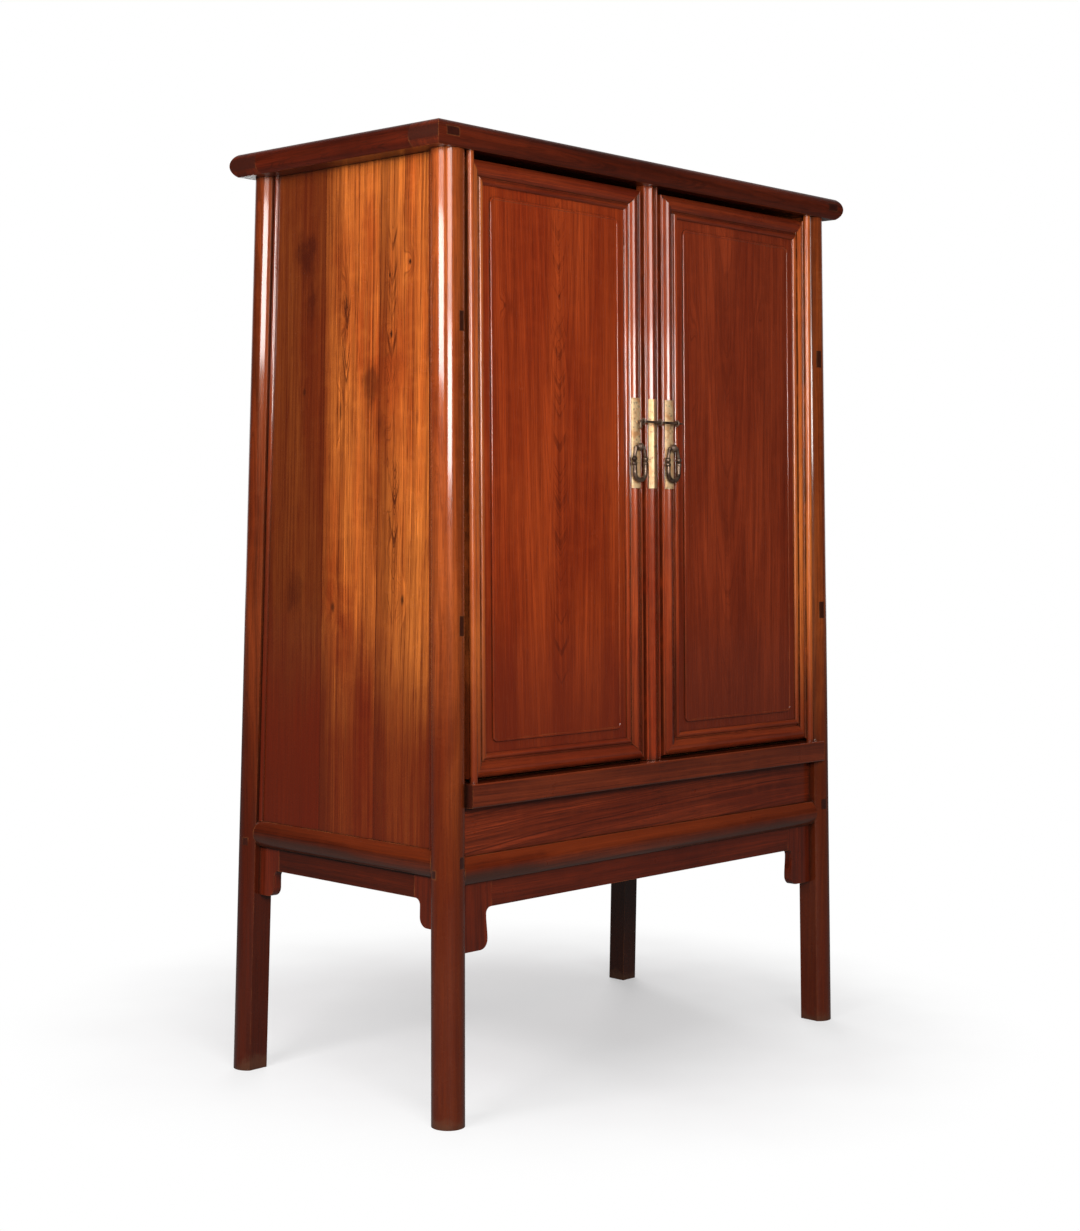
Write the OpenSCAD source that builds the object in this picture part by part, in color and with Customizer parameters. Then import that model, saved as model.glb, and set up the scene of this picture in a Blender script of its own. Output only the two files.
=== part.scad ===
/* [Overall] */
// Height from the floor to the top of the cap
height = 1750; // [1450:10:2100]
// Distance between the axes of the left and right posts at the floor
foot_w = 1106; // [900:2:1330]
// Distance between the axes of the front and rear posts at the floor
foot_d = 554; // [460:2:670]
// How far each post leans in across the width between floor and cap
splay_w = 21.5; // [5:0.5:30]
// How far each post leans in across the depth between floor and cap
splay_d = 37.5; // [5:0.5:50]
// Gap left between wooden pieces that meet
fit = 0.2; // [0.1:0.05:0.4]

/* [Posts] */
// Radius of the round outer side of a post
post_r = 30; // [26:0.5:36]
// Distance from the axis of a post to each of its two inner flats
post_flat = 24; // [20:0.5:26]
// Side of the square tenon on top of a post
post_tenon_w = 18; // [12:1:20]
// Height of the square tenon on top of a post
post_tenon_h = 22; // [12:1:30]

/* [Cap] */
// Thickness of the cap frame
cap_h = 42; // [34:1:52]
// How far the cap reaches past the posts at each side
cap_over_side = 35.5; // [20:0.5:50]
// How far the cap reaches past the posts at the front and the rear
cap_over_front = 15; // [12:0.5:30]
// Depth of the rounded nose round the edge of the cap
cap_nose = 12; // [6:0.5:16]
// Width of each member of the cap frame
cap_member_w = 76; // [64:1:90]
// Width of the tenon of a side member that shows at the front
cap_tenon_w = 30; // [20:1:34]
// Height of that tenon
cap_tenon_h = 15; // [10:1:20]
// Distance from the side of the cap to the middle of that tenon
cap_tenon_in = 36; // [30:1:40]
// Thickness of the boards that fill the cap
cap_board_t = 14; // [10:1:18]

/* [Rails] */
// Height of the top of the sill rail above the floor
sill_top = 602; // [540:1:680]
// Height of the sill rail
sill_h = 42; // [34:1:50]
// How far the sill rail stands in front of the posts
sill_proud = 12; // [8:0.5:20]
// Depth of the sill rail behind the front of the posts
sill_back = 38; // [34:1:44]
// Distance from the axis of a post to the end of the sill rail
sill_lap = 20; // [16:0.5:23]
// Height of the underside of the lower front rail
front_rail_z = 423; // [380:1:450]
// Height of the underside of the lower side and rear rails
side_rail_z = 437; // [380:1:450]
// Height of the lower rails
rail_h = 48; // [40:1:54]
// Depth of the lower rails, front to back
rail_t = 38; // [30:1:42]
// How far the faces of the lower rails lie behind the posts
rail_setback = 8; // [2:0.5:12]
// Depth of the rounding on the faces of the lower rails
rail_bulge = 10; // [4:0.5:14]
// Height of the middle of the lower stretchers inside
middle_stretcher_z = 880; // [800:5:950]
// Height of the middle of the upper stretchers inside
upper_stretcher_z = 1410; // [1300:5:1450]
// Height of a stretcher
stretcher_h = 35; // [25:1:45]
// Width of a stretcher
stretcher_w = 26; // [20:1:34]
// Thickness of the tenons that go through the posts
tenon_t = 13; // [8:0.5:16]
// Distance from the axis of a post to the middle of those tenons
tenon_in = 6; // [4:0.5:8]
// Height of the tenons on the lower side rails
rail_tenon_h = 21; // [12:1:24]
// Height of the middle of the tenons on the lower side rails
rail_tenon_z = 466; // [450:1:480]
// Height of the tenons on the lower front and rear rails
cross_tenon_h = 15; // [8:1:18]
// Height of the middle of the tenons on the lower front and rear rails
cross_tenon_z = 445.5; // [435:0.5:460]

/* [Panels] */
// Thickness of the boards at the sides and the rear
board_t = 8; // [6:0.5:9]
// How far the side and rear boards lie behind the posts
board_setback = 21; // [16:0.5:21]
// Depth of the tongues that hold the boards in the posts
tongue = 6; // [3:0.5:8]
// Thickness of those tongues
tongue_t = 4; // [3:0.5:5]
// Place of the joint between the front and the middle side board
side_joint_front = -81; // [-120:1:-40]
// Place of the joint between the middle and the rear side board
side_joint_rear = 69; // [40:1:120]
// Radius of the bead strips between the side boards and the posts
bead_r = 5.5; // [3:0.5:7]
// Number of boards across the back
rear_board_count = 5; // [3:1:7]
// How far the compartment panel lies behind the posts
low_panel_setback = 25; // [16:0.5:28]

/* [Aprons] */
// Thickness of the aprons and spandrels
apron_t = 18; // [12:1:24]
// How far the aprons lie behind the posts
apron_setback = 25; // [14:0.5:28]
// Height of the front apron
front_apron_h = 48; // [30:1:60]
// Height of the side and rear aprons
side_apron_h = 44; // [30:1:60]
// Width of a front spandrel
front_spandrel_w = 66; // [50:1:80]
// Drop of a front spandrel below the apron
front_spandrel_drop = 75; // [50:1:100]
// How far a front spandrel swells out above its foot
front_spandrel_swell = 3; // [0:0.5:10]
// Width of a side spandrel
side_spandrel_w = 42; // [30:1:56]
// Drop of a side spandrel below the apron
side_spandrel_drop = 51; // [40:1:70]
// Radius of the hollow corner between apron and spandrel
hollow_r = 12; // [6:0.5:18]
// Radius of the rounded foot of a spandrel
foot_r = 18; // [10:0.5:24]

/* [Doors] */
// Radius of the round pivots that the hinge stiles end in
pivot_r = 7.3; // [6:0.1:9]
// Gap all round a pivot in its socket
pivot_gap = 0.3; // [0.1:0.05:0.5]
// How far the pivots lie behind the front of the posts
pivot_setback = 9; // [6:0.5:10]
// Gap between door and post at the top
door_gap_top = 2; // [2:0.5:8]
// Gap between door and post at the bottom
door_gap_bottom = 11.5; // [2:0.5:16]
// Gap between the sill rail and the doors
door_gap_sill = 6.5; // [6:0.5:14]
// Gap between the doors and the cap, which lets a door be lifted out
door_gap_cap = 11; // [10:0.5:16]
// Depth that a lower pivot stands in the sill rail
pivot_in_sill = 8; // [5:0.5:9]
// Depth that an upper pivot stands in the cap
pivot_in_cap = 14; // [12:0.5:18]
// Distance from the middle of the cabinet to the edge of a door
door_edge = 30; // [28:0.5:36]
// Thickness of a door behind its pivots
door_back = 24; // [20:0.5:26]
// Width of a hinge stile from its pivot to the panel
hinge_stile_w = 39.5; // [34:0.5:46]
// Width of an inner stile
inner_stile_w = 49; // [44:0.5:56]
// Height of the top rail of a door
door_top_rail = 42; // [34:0.5:50]
// Height of the bottom rail of a door
door_bottom_rail = 42.5; // [34:0.5:50]
// Width of the bead that the frame ends in next to the panel
frame_bead_w = 11; // [8:0.5:12]
// Height of that bead over the foot of the frame's rounds
frame_bead_h = 4; // [2:0.5:5]
// Height of the broad rounds on the rails and the inner stiles
frame_round_h = 6; // [3:0.5:7]
// Width of the round on an inner stile
stile_round_w = 29; // [26:0.5:32]
// Height of the flatter round on a hinge stile
strip_round_h = 3; // [1:0.5:4]
// Radius of the fine grooves beside the beads of the frame
quirk_r = 1.8; // [1:0.1:2.2]
// How far the crown of the frame's rounds lies behind the posts
frame_setback = 12; // [8:0.5:14]
// Width of the sunk border round the raised field
border_w = 18; // [16:0.5:32]
// How far the border lies behind the crown of the frame's rounds
border_sink = 7.5; // [6:0.5:9]
// Height of the raised field over the border
field_h = 3; // [1:0.1:4]
// Radius of the bead that runs round the raised field
field_bead_r = 2.4; // [1.5:0.1:3]
// Thickness of a door panel at the border
door_panel_t = 7; // [6:0.5:8]

/* [Centre post] */
// Width of the removable centre post
centre_w = 41; // [34:0.5:46]
// Depth of the centre post behind the front of the posts
centre_back = 35; // [30:0.5:40]
// How far the round of the centre post lies behind the posts
centre_setback = 12; // [8:0.5:14]
// Width of the round on the front of the centre post
centre_round_w = 27; // [20:0.5:30]
// Height of that round over its side beads
centre_round_h = 6; // [2:0.5:7]
// Width of the tongues that the centre post slides on to
seat_w = 12; // [8:1:16]
// Height of those tongues
seat_h = 10; // [6:1:12]

/* [Metalwork] */
// Width of a lock plate
plate_w = 26; // [20:0.5:28]
// Height of a lock plate
plate_h = 172; // [120:1:200]
// Height of the middle of the lock plates above the floor
plate_z = 1214; // [1100:1:1300]
// Thickness of a lock plate
plate_t = 1.2; // [0.8:0.1:2]
// Distance from the middle of the cabinet to the middle of a door's plate
plate_x = 50; // [48:0.5:54]
// Height of the lock pin above the floor
pin_z = 1254.5; // [1230:0.5:1280]
// How far the lock pin lies in front of the posts
pin_proud = 4; // [3:0.5:10]
// Radius of the lock pin
pin_r = 2.5; // [1.5:0.1:3]
// Gap all round the lock pin in its eyes
pin_gap = 0.6; // [0.3:0.1:1]
// Radius of the wire of the eyes
eye_wire_r = 1.8; // [1.2:0.1:2.4]
// Height of the pivots of the pulls above the floor
pull_z = 1205.5; // [1190:0.5:1215]
// Radius of the knob that a pull hangs from
knob_r = 7.2; // [6:0.1:8]
// Radius of the bar at the top of a pull
pull_bar_r = 2.2; // [1.5:0.1:2.6]
// Radius of the wire at the foot of a pull
pull_wire_r = 4.2; // [3:0.1:4.6]
// Radius of the bend at the foot of a pull
pull_bend_r = 15.5; // [13:0.5:17]
// Radius of the beads on a pull
pull_bead_r = 5.4; // [4.4:0.1:5.4]
// Distance from the pivot of a pull to the middle of its bend
pull_drop = 47; // [42:0.5:52]

/* [Inside] */
// Thickness of a shelf
shelf_t = 18; // [14:1:22]
// How far a shelf stops behind the front of the posts
shelf_setback = 42; // [40:1:60]
// Thickness of the lids and the floor of the compartment
lid_t = 14; // [10:1:18]
// Gap round the lids
lid_gap = 2.5; // [2:0.5:4]
// Width of the ledges that carry the lids
ledge_w = 12; // [8:1:16]
// Radius of the finger hole in a lid
finger_r = 12; // [10:0.5:16]

/* [Hidden] */
$fn = 64;

cap_z = height - cap_h;
front_lean = atan(splay_d / cap_z);
side_lean = atan(splay_w / cap_z);
cap_w = foot_w - 2 * splay_w + 2 * post_r + 2 * cap_over_side;
cap_d = foot_d - 2 * splay_d + 2 * post_r + 2 * cap_over_front;
cap_inner_w = cap_w - 2 * cap_member_w;
cap_inner_d = cap_d - 2 * cap_member_w;
far = 2 * height;
board_inner = board_setback + board_t;
front_rail_top = front_rail_z + rail_h;
side_rail_top = side_rail_z + rail_h;
sill_z = sill_top - sill_h;
lid_z = sill_top - lid_t;
floor_z = cross_tenon_z + cross_tenon_h / 2;
rear_rail_back = sill_back;
rear_rail_setback = 10;
middle_rear_z = (sill_top + cap_z) / 2 - stretcher_h / 2;
door_bottom = sill_top + door_gap_sill;
door_top = cap_z - door_gap_cap;
panel_front = frame_setback + border_sink;
panel_back = panel_front + door_panel_t;
door_panel_tongue = 7;
plate_skin = 0.1;
plate_face = frame_setback - plate_t - plate_skin;
eye_r = pin_r + pin_gap + eye_wire_r;
pull_setback = plate_face - pull_bead_r - 0.3;
centre_foot = sill_top * cos(front_lean) + (post_r + sill_proud) * sin(front_lean) + fit;
frame_base = frame_setback + frame_round_h;
wood_dark = [0.30, 0.11, 0.06];
wood_red = [0.45, 0.16, 0.08];
wood_warm = [0.62, 0.30, 0.12];
wood_plain = [0.55, 0.38, 0.22];
brass = [0.78, 0.64, 0.36];
bronze = [0.30, 0.24, 0.17];

// Radius of an arc that is w wide and h high
function arc_r(w, h) = (w * w / 4 + h * h) / (2 * h);
// Axis of a post at height z, from the middle of the cabinet
function post_x(z) = foot_w / 2 - z * tan(side_lean);
function post_y(z) = foot_d / 2 - z * tan(front_lean);
// Height over which a pivot leans, and its place at height z
pivot_x_low = post_x(sill_top) - post_flat - door_gap_bottom - pivot_r;
pivot_x_high = post_x(cap_z) - post_flat - door_gap_top - pivot_r;
pivot_slope = (pivot_x_low - pivot_x_high) / (cap_z - sill_top);
function pivot_x(z) = pivot_x_low - pivot_slope * (z - sill_top);

// Points of a polygon with each corner rounded to radius r
function unit(v) = v / norm(v);
function corner_arc(a, b, c, r, n) =
    let (u = unit(a - b), w = unit(c - b), half = acos(u * w) / 2)
    let (centre = b + unit(u + w) * r / sin(half))
    let (start = b + u * r / tan(half) - centre, turn = 180 - 2 * half)
    let (side = u[0] * w[1] - u[1] * w[0] > 0 ? 1 : -1)
    [for (i = [0:n]) let (t = -side * turn * i / n)
        centre + [start[0] * cos(t) - start[1] * sin(t), start[0] * sin(t) + start[1] * cos(t)]];
function rounded(points, r, n = 6) =
    let (m = len(points))
    [for (i = [0:m - 1])
        for (p = corner_arc(points[(i + m - 1) % m], points[i], points[(i + 1) % m], r, n)) p];

// Frames of the four leaning sides: the posts' outer faces lie at 0, and values grow inwards
module front_frame() {
    translate([0, -foot_d / 2, 0])
        rotate([-front_lean, 0, 0])
            translate([0, -post_r, 0])
                children();
}
module rear_frame() {
    mirror([0, 1, 0])
        front_frame()
            children();
}
module left_frame() {
    translate([-foot_w / 2, 0, 0])
        rotate([0, side_lean, 0])
            translate([-post_r, 0, 0])
                children();
}
module to_right() {
    mirror([1, 0, 0])
        children();
}

// Outline in width and height, given a thickness from y0 to y1
module front_plate(y0, y1) {
    translate([0, y1, 0])
        rotate([90, 0, 0])
            linear_extrude(y1 - y0)
                children();
}
// Outline in depth and height, given a thickness from x0 to x1
module side_plate(x0, x1) {
    translate([x0, 0, 0])
        rotate([90, 0, 90])
            linear_extrude(x1 - x0)
                children();
}
// Space between the front posts, less a margin, from z0 to z1
module front_span(z0, z1, margin) {
    polygon([
        [-post_x(z0) + margin, z0], [post_x(z0) - margin, z0],
        [post_x(z1) - margin, z1], [-post_x(z1) + margin, z1]
    ]);
}
// Space between the posts of a side, less a margin, from z0 to z1
module side_span(z0, z1, margin) {
    polygon([
        [-post_y(z0) + margin, z0], [post_y(z0) - margin, z0],
        [post_y(z1) - margin, z1], [-post_y(z1) + margin, z1]
    ]);
}
module below_cap(gap) {
    translate([-far / 2, -far / 2, -far])
        cube([far, far, far + cap_z - gap]);
}

// Posts: round outside, square inside
module post_section(grow) {
    reach = post_r + grow;
    flat = post_flat + grow;
    intersection() {
        union() {
            circle(r = reach);
            square(flat);
        }
        translate([-reach, -reach])
            square(reach + flat);
    }
}
module post_blank(grow) {
    front_frame()
        translate([-foot_w / 2, post_r, 0])
            rotate([0, side_lean, 0])
                translate([0, 0, -post_r])
                    linear_extrude(height + post_r)
                        post_section(grow);
}
module left_posts(grow) {
    post_blank(grow);
    mirror([0, 1, 0])
        post_blank(grow);
}
module all_posts(grow) {
    left_posts(grow);
    to_right()
        left_posts(grow);
}
module post_tenon(grow) {
    side = post_tenon_w + 2 * grow;
    translate([-post_x(cap_z) - side / 2, -post_y(cap_z) - side / 2, cap_z - post_r])
        cube([side, side, post_r + post_tenon_h + grow]);
}
// Tenon bar from front to rear through both posts of the left side
module side_tenon_bar(z, h, grow) {
    left_frame()
        translate([post_r + tenon_in - tenon_t / 2 - grow, -foot_d, z - h / 2 - grow])
            cube([tenon_t + 2 * grow, 2 * foot_d, h + 2 * grow]);
}
// Tenon bar from left to right through both front posts
module cross_tenon_bar(grow) {
    front_frame()
        translate([-foot_w, post_r + tenon_in - tenon_t / 2 - grow, cross_tenon_z - cross_tenon_h / 2 - grow])
            cube([2 * foot_w, tenon_t + 2 * grow, cross_tenon_h + 2 * grow]);
}
// Stub tenons of the sill rails
module sill_tenon_bar(grow) {
    front_frame()
        front_plate(post_r - tenon_t / 2 - grow, post_r + tenon_t / 2 + grow)
            front_span(sill_z + tenon_t / 2 - grow, sill_top - tenon_t - lid_t / 2 + grow, post_flat - tenon_t - grow);
}
module side_tongues(grow) {
    middle = board_setback + board_t / 2;
    left_frame()
        side_plate(middle - tongue_t / 2 - grow, middle + tongue_t / 2 + grow)
            side_span(side_rail_top - grow, height, post_flat - tongue - grow);
}
module rear_tongues(grow) {
    middle = board_setback + board_t / 2;
    rear_frame()
        front_plate(middle - tongue_t / 2 - grow, middle + tongue_t / 2 + grow)
            front_span(side_rail_top - grow, height, post_flat - tongue - grow);
}
module side_mortises() {
    side_tenon_bar(rail_tenon_z, rail_tenon_h, fit);
    side_tenon_bar(middle_stretcher_z, stretcher_h, fit);
    side_tenon_bar(upper_stretcher_z, stretcher_h, fit);
    side_tongues(fit);
}
module left_post(rear) {
    color(wood_warm)
        difference() {
            union() {
                intersection() {
                    mirror([0, rear ? 1 : 0, 0])
                        post_blank(0);
                    translate([-far / 2, -far / 2, 0])
                        cube([far, far, cap_z - fit]);
                }
                mirror([0, rear ? 1 : 0, 0])
                    post_tenon(0);
            }
            side_mortises();
            mirror([0, rear ? 1 : 0, 0])
                cross_tenon_bar(fit);
            mirror([0, rear ? 1 : 0, 0])
                sill_tenon_bar(fit);
            if (rear)
                rear_tongues(fit);
        }
}
module post_front_left() {
    left_post(false);
}
module post_front_right() {
    to_right()
        left_post(false);
}
module post_rear_left() {
    left_post(true);
}
module post_rear_right() {
    to_right()
        left_post(true);
}

// Cap: a mitre-nosed frame round floating boards
module cap_profile(w) {
    nose_r = (cap_h * cap_h / 4 + cap_nose * cap_nose) / (2 * cap_nose);
    translate([-w / 2 + cap_nose, 0])
        square([w - 2 * cap_nose, cap_h]);
    for (s = [-1, 1])
        intersection() {
            translate([s * (w / 2 - nose_r), cap_h / 2])
                circle(r = nose_r);
            translate([s > 0 ? w / 2 - nose_r : -w / 2, 0])
                square([nose_r, cap_h]);
        }
}
module cap_solid() {
    translate([0, 0, cap_z])
        intersection() {
            front_plate(-cap_d, cap_d)
                cap_profile(cap_w);
            side_plate(-cap_w, cap_w)
                cap_profile(cap_d);
        }
}
module cap_tenon_bars(grow) {
    low = cap_z + cap_h / 2 - cap_tenon_h / 2 + 2 - grow;
    for (s = [-1, 1])
        translate([s * (cap_w / 2 - cap_tenon_in) - cap_tenon_w / 2 - grow, -cap_d, low])
            cube([cap_tenon_w + 2 * grow, 2 * cap_d, cap_tenon_h + 2 * grow]);
}
module cap_panel(grow) {
    w = cap_inner_w - 2 * fit + 2 * grow;
    d = cap_inner_d - 2 * fit + 2 * grow;
    top = height - 1;
    translate([-w / 2, -d / 2, top - cap_board_t])
        cube([w, d, cap_board_t]);
    translate([-w / 2 - tongue, -d / 2 - tongue, top - cap_board_t - grow])
        cube([w + 2 * tongue, d + 2 * tongue, tongue_t + 2 * grow]);
}
module pivot_socket(z0, z1) {
    door_frame()
        translate([0, 0, z0])
            cylinder(h = z1 - z0, r = pivot_r + pivot_gap);
}
// Tongue that the centre post slides on to, and with a value for back its slot
module seat_tongue(level, z0, z1, grow, back) {
    translate([-seat_w / 2 - grow, -post_y(level) - post_r + centre_back - seat_w - grow, z0])
        cube([seat_w + 2 * grow, seat_w + grow + back, z1 - z0]);
}
module cap_long_member(front) {
    color(wood_dark)
        difference() {
            union() {
                intersection() {
                    cap_solid();
                    translate([-cap_w, -cap_d / 2, 0])
                        cube([2 * cap_w, cap_member_w, far]);
                }
                if (front)
                    seat_tongue(cap_z, cap_z - seat_h, cap_z + seat_h, 0, 0);
            }
            cap_panel(fit);
            cap_tenon_bars(fit);
            for (s = [0, 1])
                mirror([s, 0, 0]) {
                    post_tenon(fit);
                    if (front)
                        pivot_socket(cap_z - seat_h, cap_z + pivot_in_cap + door_gap_cap);
                }
        }
}
module cap_front_member() {
    cap_long_member(true);
}
module cap_rear_member() {
    mirror([0, 1, 0])
        cap_long_member(false);
}
module cap_left_member() {
    color(wood_dark)
        difference() {
            intersection() {
                cap_solid();
                translate([-cap_w / 2, -cap_d, 0])
                    cube([cap_member_w, 2 * cap_d, far]);
                union() {
                    cap_tenon_bars(0);
                    translate([-cap_w, -cap_inner_d / 2 + fit, 0])
                        cube([cap_w, cap_inner_d - 2 * fit, far]);
                }
            }
            cap_panel(fit);
        }
}
module cap_right_member() {
    to_right()
        cap_left_member();
}
module cap_boards() {
    pitch = (cap_inner_d + 2 * tongue) / 3;
    color(wood_plain)
        for (i = [-1:1])
            intersection() {
                cap_panel(0);
                translate([-cap_w, (i - 0.5) * pitch + fit / 2, 0])
                    cube([2 * cap_w, pitch - fit, far]);
            }
}
module cap_battens() {
    color(wood_plain)
        for (s = [-1, 1])
            translate([s * cap_inner_w / 4 - 25, -cap_inner_d / 2 + fit, cap_z + 4])
                cube([50, cap_inner_d - 2 * fit, cap_h - 5 - cap_board_t - fit]);
}

// Front rails
module floor_ledge() {
    translate([rail_setback + rail_t - 1, floor_z - lid_t])
        square([ledge_w + 1, lid_t]);
}
module rail_section() {
    bulge_r = (rail_h * rail_h / 4 + rail_bulge * rail_bulge) / (2 * rail_bulge);
    translate([rail_setback + rail_bulge, 0])
        square([rail_t - rail_bulge, rail_h]);
    intersection() {
        translate([rail_setback + bulge_r, rail_h / 2])
            circle(r = bulge_r);
        translate([rail_setback, 0])
            square([rail_t - 1, rail_h]);
    }
}
module sill_section(front) {
    edge = 3;
    translate([front + edge, 0])
        square([sill_back - front - edge, sill_h]);
    translate([front, edge])
        square([2 * edge, sill_h - 2 * edge]);
    for (z = [edge, sill_h - edge])
        translate([front + edge, z])
            circle(r = edge);
    translate([front + edge, edge])
        square([sill_back + ledge_w - front - edge, sill_h - edge - lid_t - fit]);
}
module sill_rail() {
    color(wood_dark)
        difference() {
            union() {
                difference() {
                    front_frame()
                        intersection() {
                            side_plate(-foot_w, foot_w)
                                translate([0, sill_z])
                                    sill_section(-sill_proud);
                            front_plate(-far, far)
                                front_span(sill_z - 1, sill_top + 1, sill_lap);
                        }
                    all_posts(fit);
                }
                sill_tenon_bar(0);
                seat_tongue(sill_top, sill_top - seat_h, sill_top + seat_h, 0, 0);
            }
            for (s = [0, 1])
                mirror([s, 0, 0])
                    pivot_socket(sill_top - pivot_in_sill - pivot_gap, sill_top + seat_h);
        }
}
module compartment_panel() {
    color(wood_red)
        front_frame()
            front_plate(low_panel_setback, low_panel_setback + board_t)
                front_span(front_rail_top + fit, sill_z - fit, post_flat + fit);
}
// A lower rail between two posts, with a tenon through each of them
module lower_cross_rail(z) {
    color(wood_dark) {
        difference() {
            front_frame() {
                intersection() {
                    side_plate(-foot_w, foot_w)
                        translate([0, z])
                            rail_section();
                    front_plate(-far, far)
                        front_span(z - 1, z + rail_h + 1, 0);
                }
                intersection() {
                    side_plate(-foot_w, foot_w)
                        floor_ledge();
                    front_plate(-far, far)
                        front_span(z - 1, z + rail_h + 1, post_flat + fit);
                }
            }
            all_posts(fit);
        }
        intersection() {
            cross_tenon_bar(0);
            union() {
                all_posts(0);
                front_frame()
                    front_plate(-far, far)
                        front_span(z, z + rail_h, post_flat - 1);
            }
        }
    }
}
module lower_front_rail() {
    lower_cross_rail(front_rail_z);
}
module lower_rear_rail() {
    mirror([0, 1, 0])
        lower_cross_rail(side_rail_z);
}

// Aprons and spandrels: half of the outline, from the middle to the post's flat
function swell_edge(edge, top, foot, swell, n) =
    [for (i = [1:n - 1]) [edge - swell * (1 - cos(180 * i / n)) / 2, top + (foot - top) * i / n]];
function spandrel_outline(post, edge, top, apron, drop, swell) =
    let (foot = top - apron - drop, hollow = top - apron - hollow_r, low = edge - swell + foot_r)
    concat(
        [[0, top], [0, top - apron]],
        [for (i = [0:6]) [edge - hollow_r, hollow] + hollow_r * [sin(15 * i), cos(15 * i)]],
        swell_edge(edge, hollow, foot + foot_r, swell, 8),
        [for (i = [0:6]) [low, foot + foot_r] + foot_r * [-cos(15 * i), -sin(15 * i)]],
        [[post + 2, foot], [post + 2, top]]
    );
module front_apron_half() {
    post = post_x(front_rail_z) - post_flat;
    top = front_rail_z - fit;
    polygon(spandrel_outline(
        post, post_x(front_rail_z - front_apron_h) - post_flat - front_spandrel_w, top,
        front_apron_h, front_spandrel_drop, front_spandrel_swell
    ));
}
module side_apron_half() {
    post = post_y(side_rail_z) - post_flat;
    top = side_rail_z - fit;
    polygon(spandrel_outline(
        post, post_y(side_rail_z - side_apron_h) - post_flat - side_spandrel_w, top,
        side_apron_h, side_spandrel_drop, 0
    ));
}
front_apron_end = post_x(front_rail_z) - post_flat - front_spandrel_w - hollow_r - 2;
side_apron_end = post_y(side_rail_z) - post_flat - side_spandrel_w - hollow_r - 2;
module front_apron() {
    color(wood_red)
        front_frame()
            front_plate(apron_setback, apron_setback + apron_t)
                for (s = [0, 1])
                    mirror([s, 0])
                        intersection() {
                            front_apron_half();
                            square([front_apron_end, far]);
                        }
}
module front_spandrels() {
    color(wood_red)
        for (s = [0, 1])
            mirror([s, 0, 0])
                difference() {
                    front_frame()
                        front_plate(apron_setback, apron_setback + apron_t)
                            difference() {
                                front_apron_half();
                                square([front_apron_end + fit, far]);
                            }
                    to_right()
                        post_blank(fit);
                }
}
module side_apron_left() {
    color(wood_red)
        left_frame()
            side_plate(apron_setback, apron_setback + apron_t)
                for (s = [0, 1])
                    mirror([s, 0])
                        intersection() {
                            side_apron_half();
                            square([side_apron_end, far]);
                        }
}
module side_apron_right() {
    to_right()
        side_apron_left();
}
module side_spandrels_left() {
    color(wood_red)
        for (s = [0, 1])
            mirror([0, s, 0])
                difference() {
                    left_frame()
                        side_plate(apron_setback, apron_setback + apron_t)
                            difference() {
                                side_apron_half();
                                square([side_apron_end + fit, far]);
                            }
                    mirror([0, 1, 0])
                        post_blank(fit);
                }
}
module side_spandrels_right() {
    to_right()
        side_spandrels_left();
}
module rear_apron() {
    color(wood_red)
        rear_frame()
            front_plate(apron_setback, apron_setback + apron_t)
                front_span(side_rail_z - side_apron_h, side_rail_z - fit, post_flat + fit);
}

// Sides
module side_boards_left() {
    middle = board_setback + board_t / 2;
    cuts = [-foot_d, side_joint_front, side_joint_rear, foot_d];
    color(wood_warm)
        for (i = [0:2])
            intersection() {
                left_frame()
                    union() {
                        side_plate(board_setback, board_inner)
                            side_span(side_rail_top + fit, height, post_flat + fit);
                        side_plate(middle - tongue_t / 2, middle + tongue_t / 2)
                            side_span(side_rail_top + fit, height, post_flat - tongue);
                    }
                below_cap(fit);
                translate([-far / 2, cuts[i] + fit / 2, 0])
                    cube([far, cuts[i + 1] - cuts[i] - fit, far]);
            }
}
module side_boards_right() {
    to_right()
        side_boards_left();
}
module side_beads_left() {
    color(wood_red)
        for (s = [0, 1])
            mirror([0, s, 0])
                intersection() {
                    left_frame()
                        translate([board_setback - fit, -foot_d / 2 + post_flat + bead_r + fit, 0])
                            rotate([-front_lean, 0, 0])
                                linear_extrude(height)
                                    intersection() {
                                        circle(r = bead_r);
                                        translate([-2 * bead_r, -bead_r])
                                            square(2 * bead_r);
                                    }
                    below_cap(fit);
                    left_frame()
                        translate([-far / 2, -far / 2, side_rail_top + fit])
                            cube(far);
                }
}
module side_beads_right() {
    to_right()
        side_beads_left();
}
// A member that runs from front to rear between two posts, with a tenon through each
module side_member(z0, z1, tenon_z, tenon_h) {
    difference() {
        intersection() {
            left_frame()
                translate([0, foot_d, 0])
                    rotate([90, 0, 0])
                        linear_extrude(2 * foot_d)
                            children();
            left_frame()
                side_plate(-far, far)
                    side_span(z0 - 1, z1 + 1, 0);
        }
        left_posts(fit);
    }
    intersection() {
        side_tenon_bar(tenon_z, tenon_h, 0);
        union() {
            left_posts(0);
            left_frame()
                side_plate(-far, far)
                    side_span(z0, z1, post_flat - 1);
        }
    }
}
module lower_side_rail_left() {
    color(wood_dark)
        side_member(side_rail_z, side_rail_top, rail_tenon_z, rail_tenon_h)
            translate([0, side_rail_z])
                rail_section();
}
module lower_side_rail_right() {
    to_right()
        lower_side_rail_left();
}
module stretcher(z) {
    color(wood_plain)
        side_member(z - stretcher_h / 2, z + stretcher_h / 2, z, stretcher_h)
            translate([board_inner + fit, z - stretcher_h / 2])
                square([stretcher_w, stretcher_h]);
}
module middle_stretcher_left() {
    stretcher(middle_stretcher_z);
}
module middle_stretcher_right() {
    to_right()
        stretcher(middle_stretcher_z);
}
module upper_stretcher_left() {
    stretcher(upper_stretcher_z);
}
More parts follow.
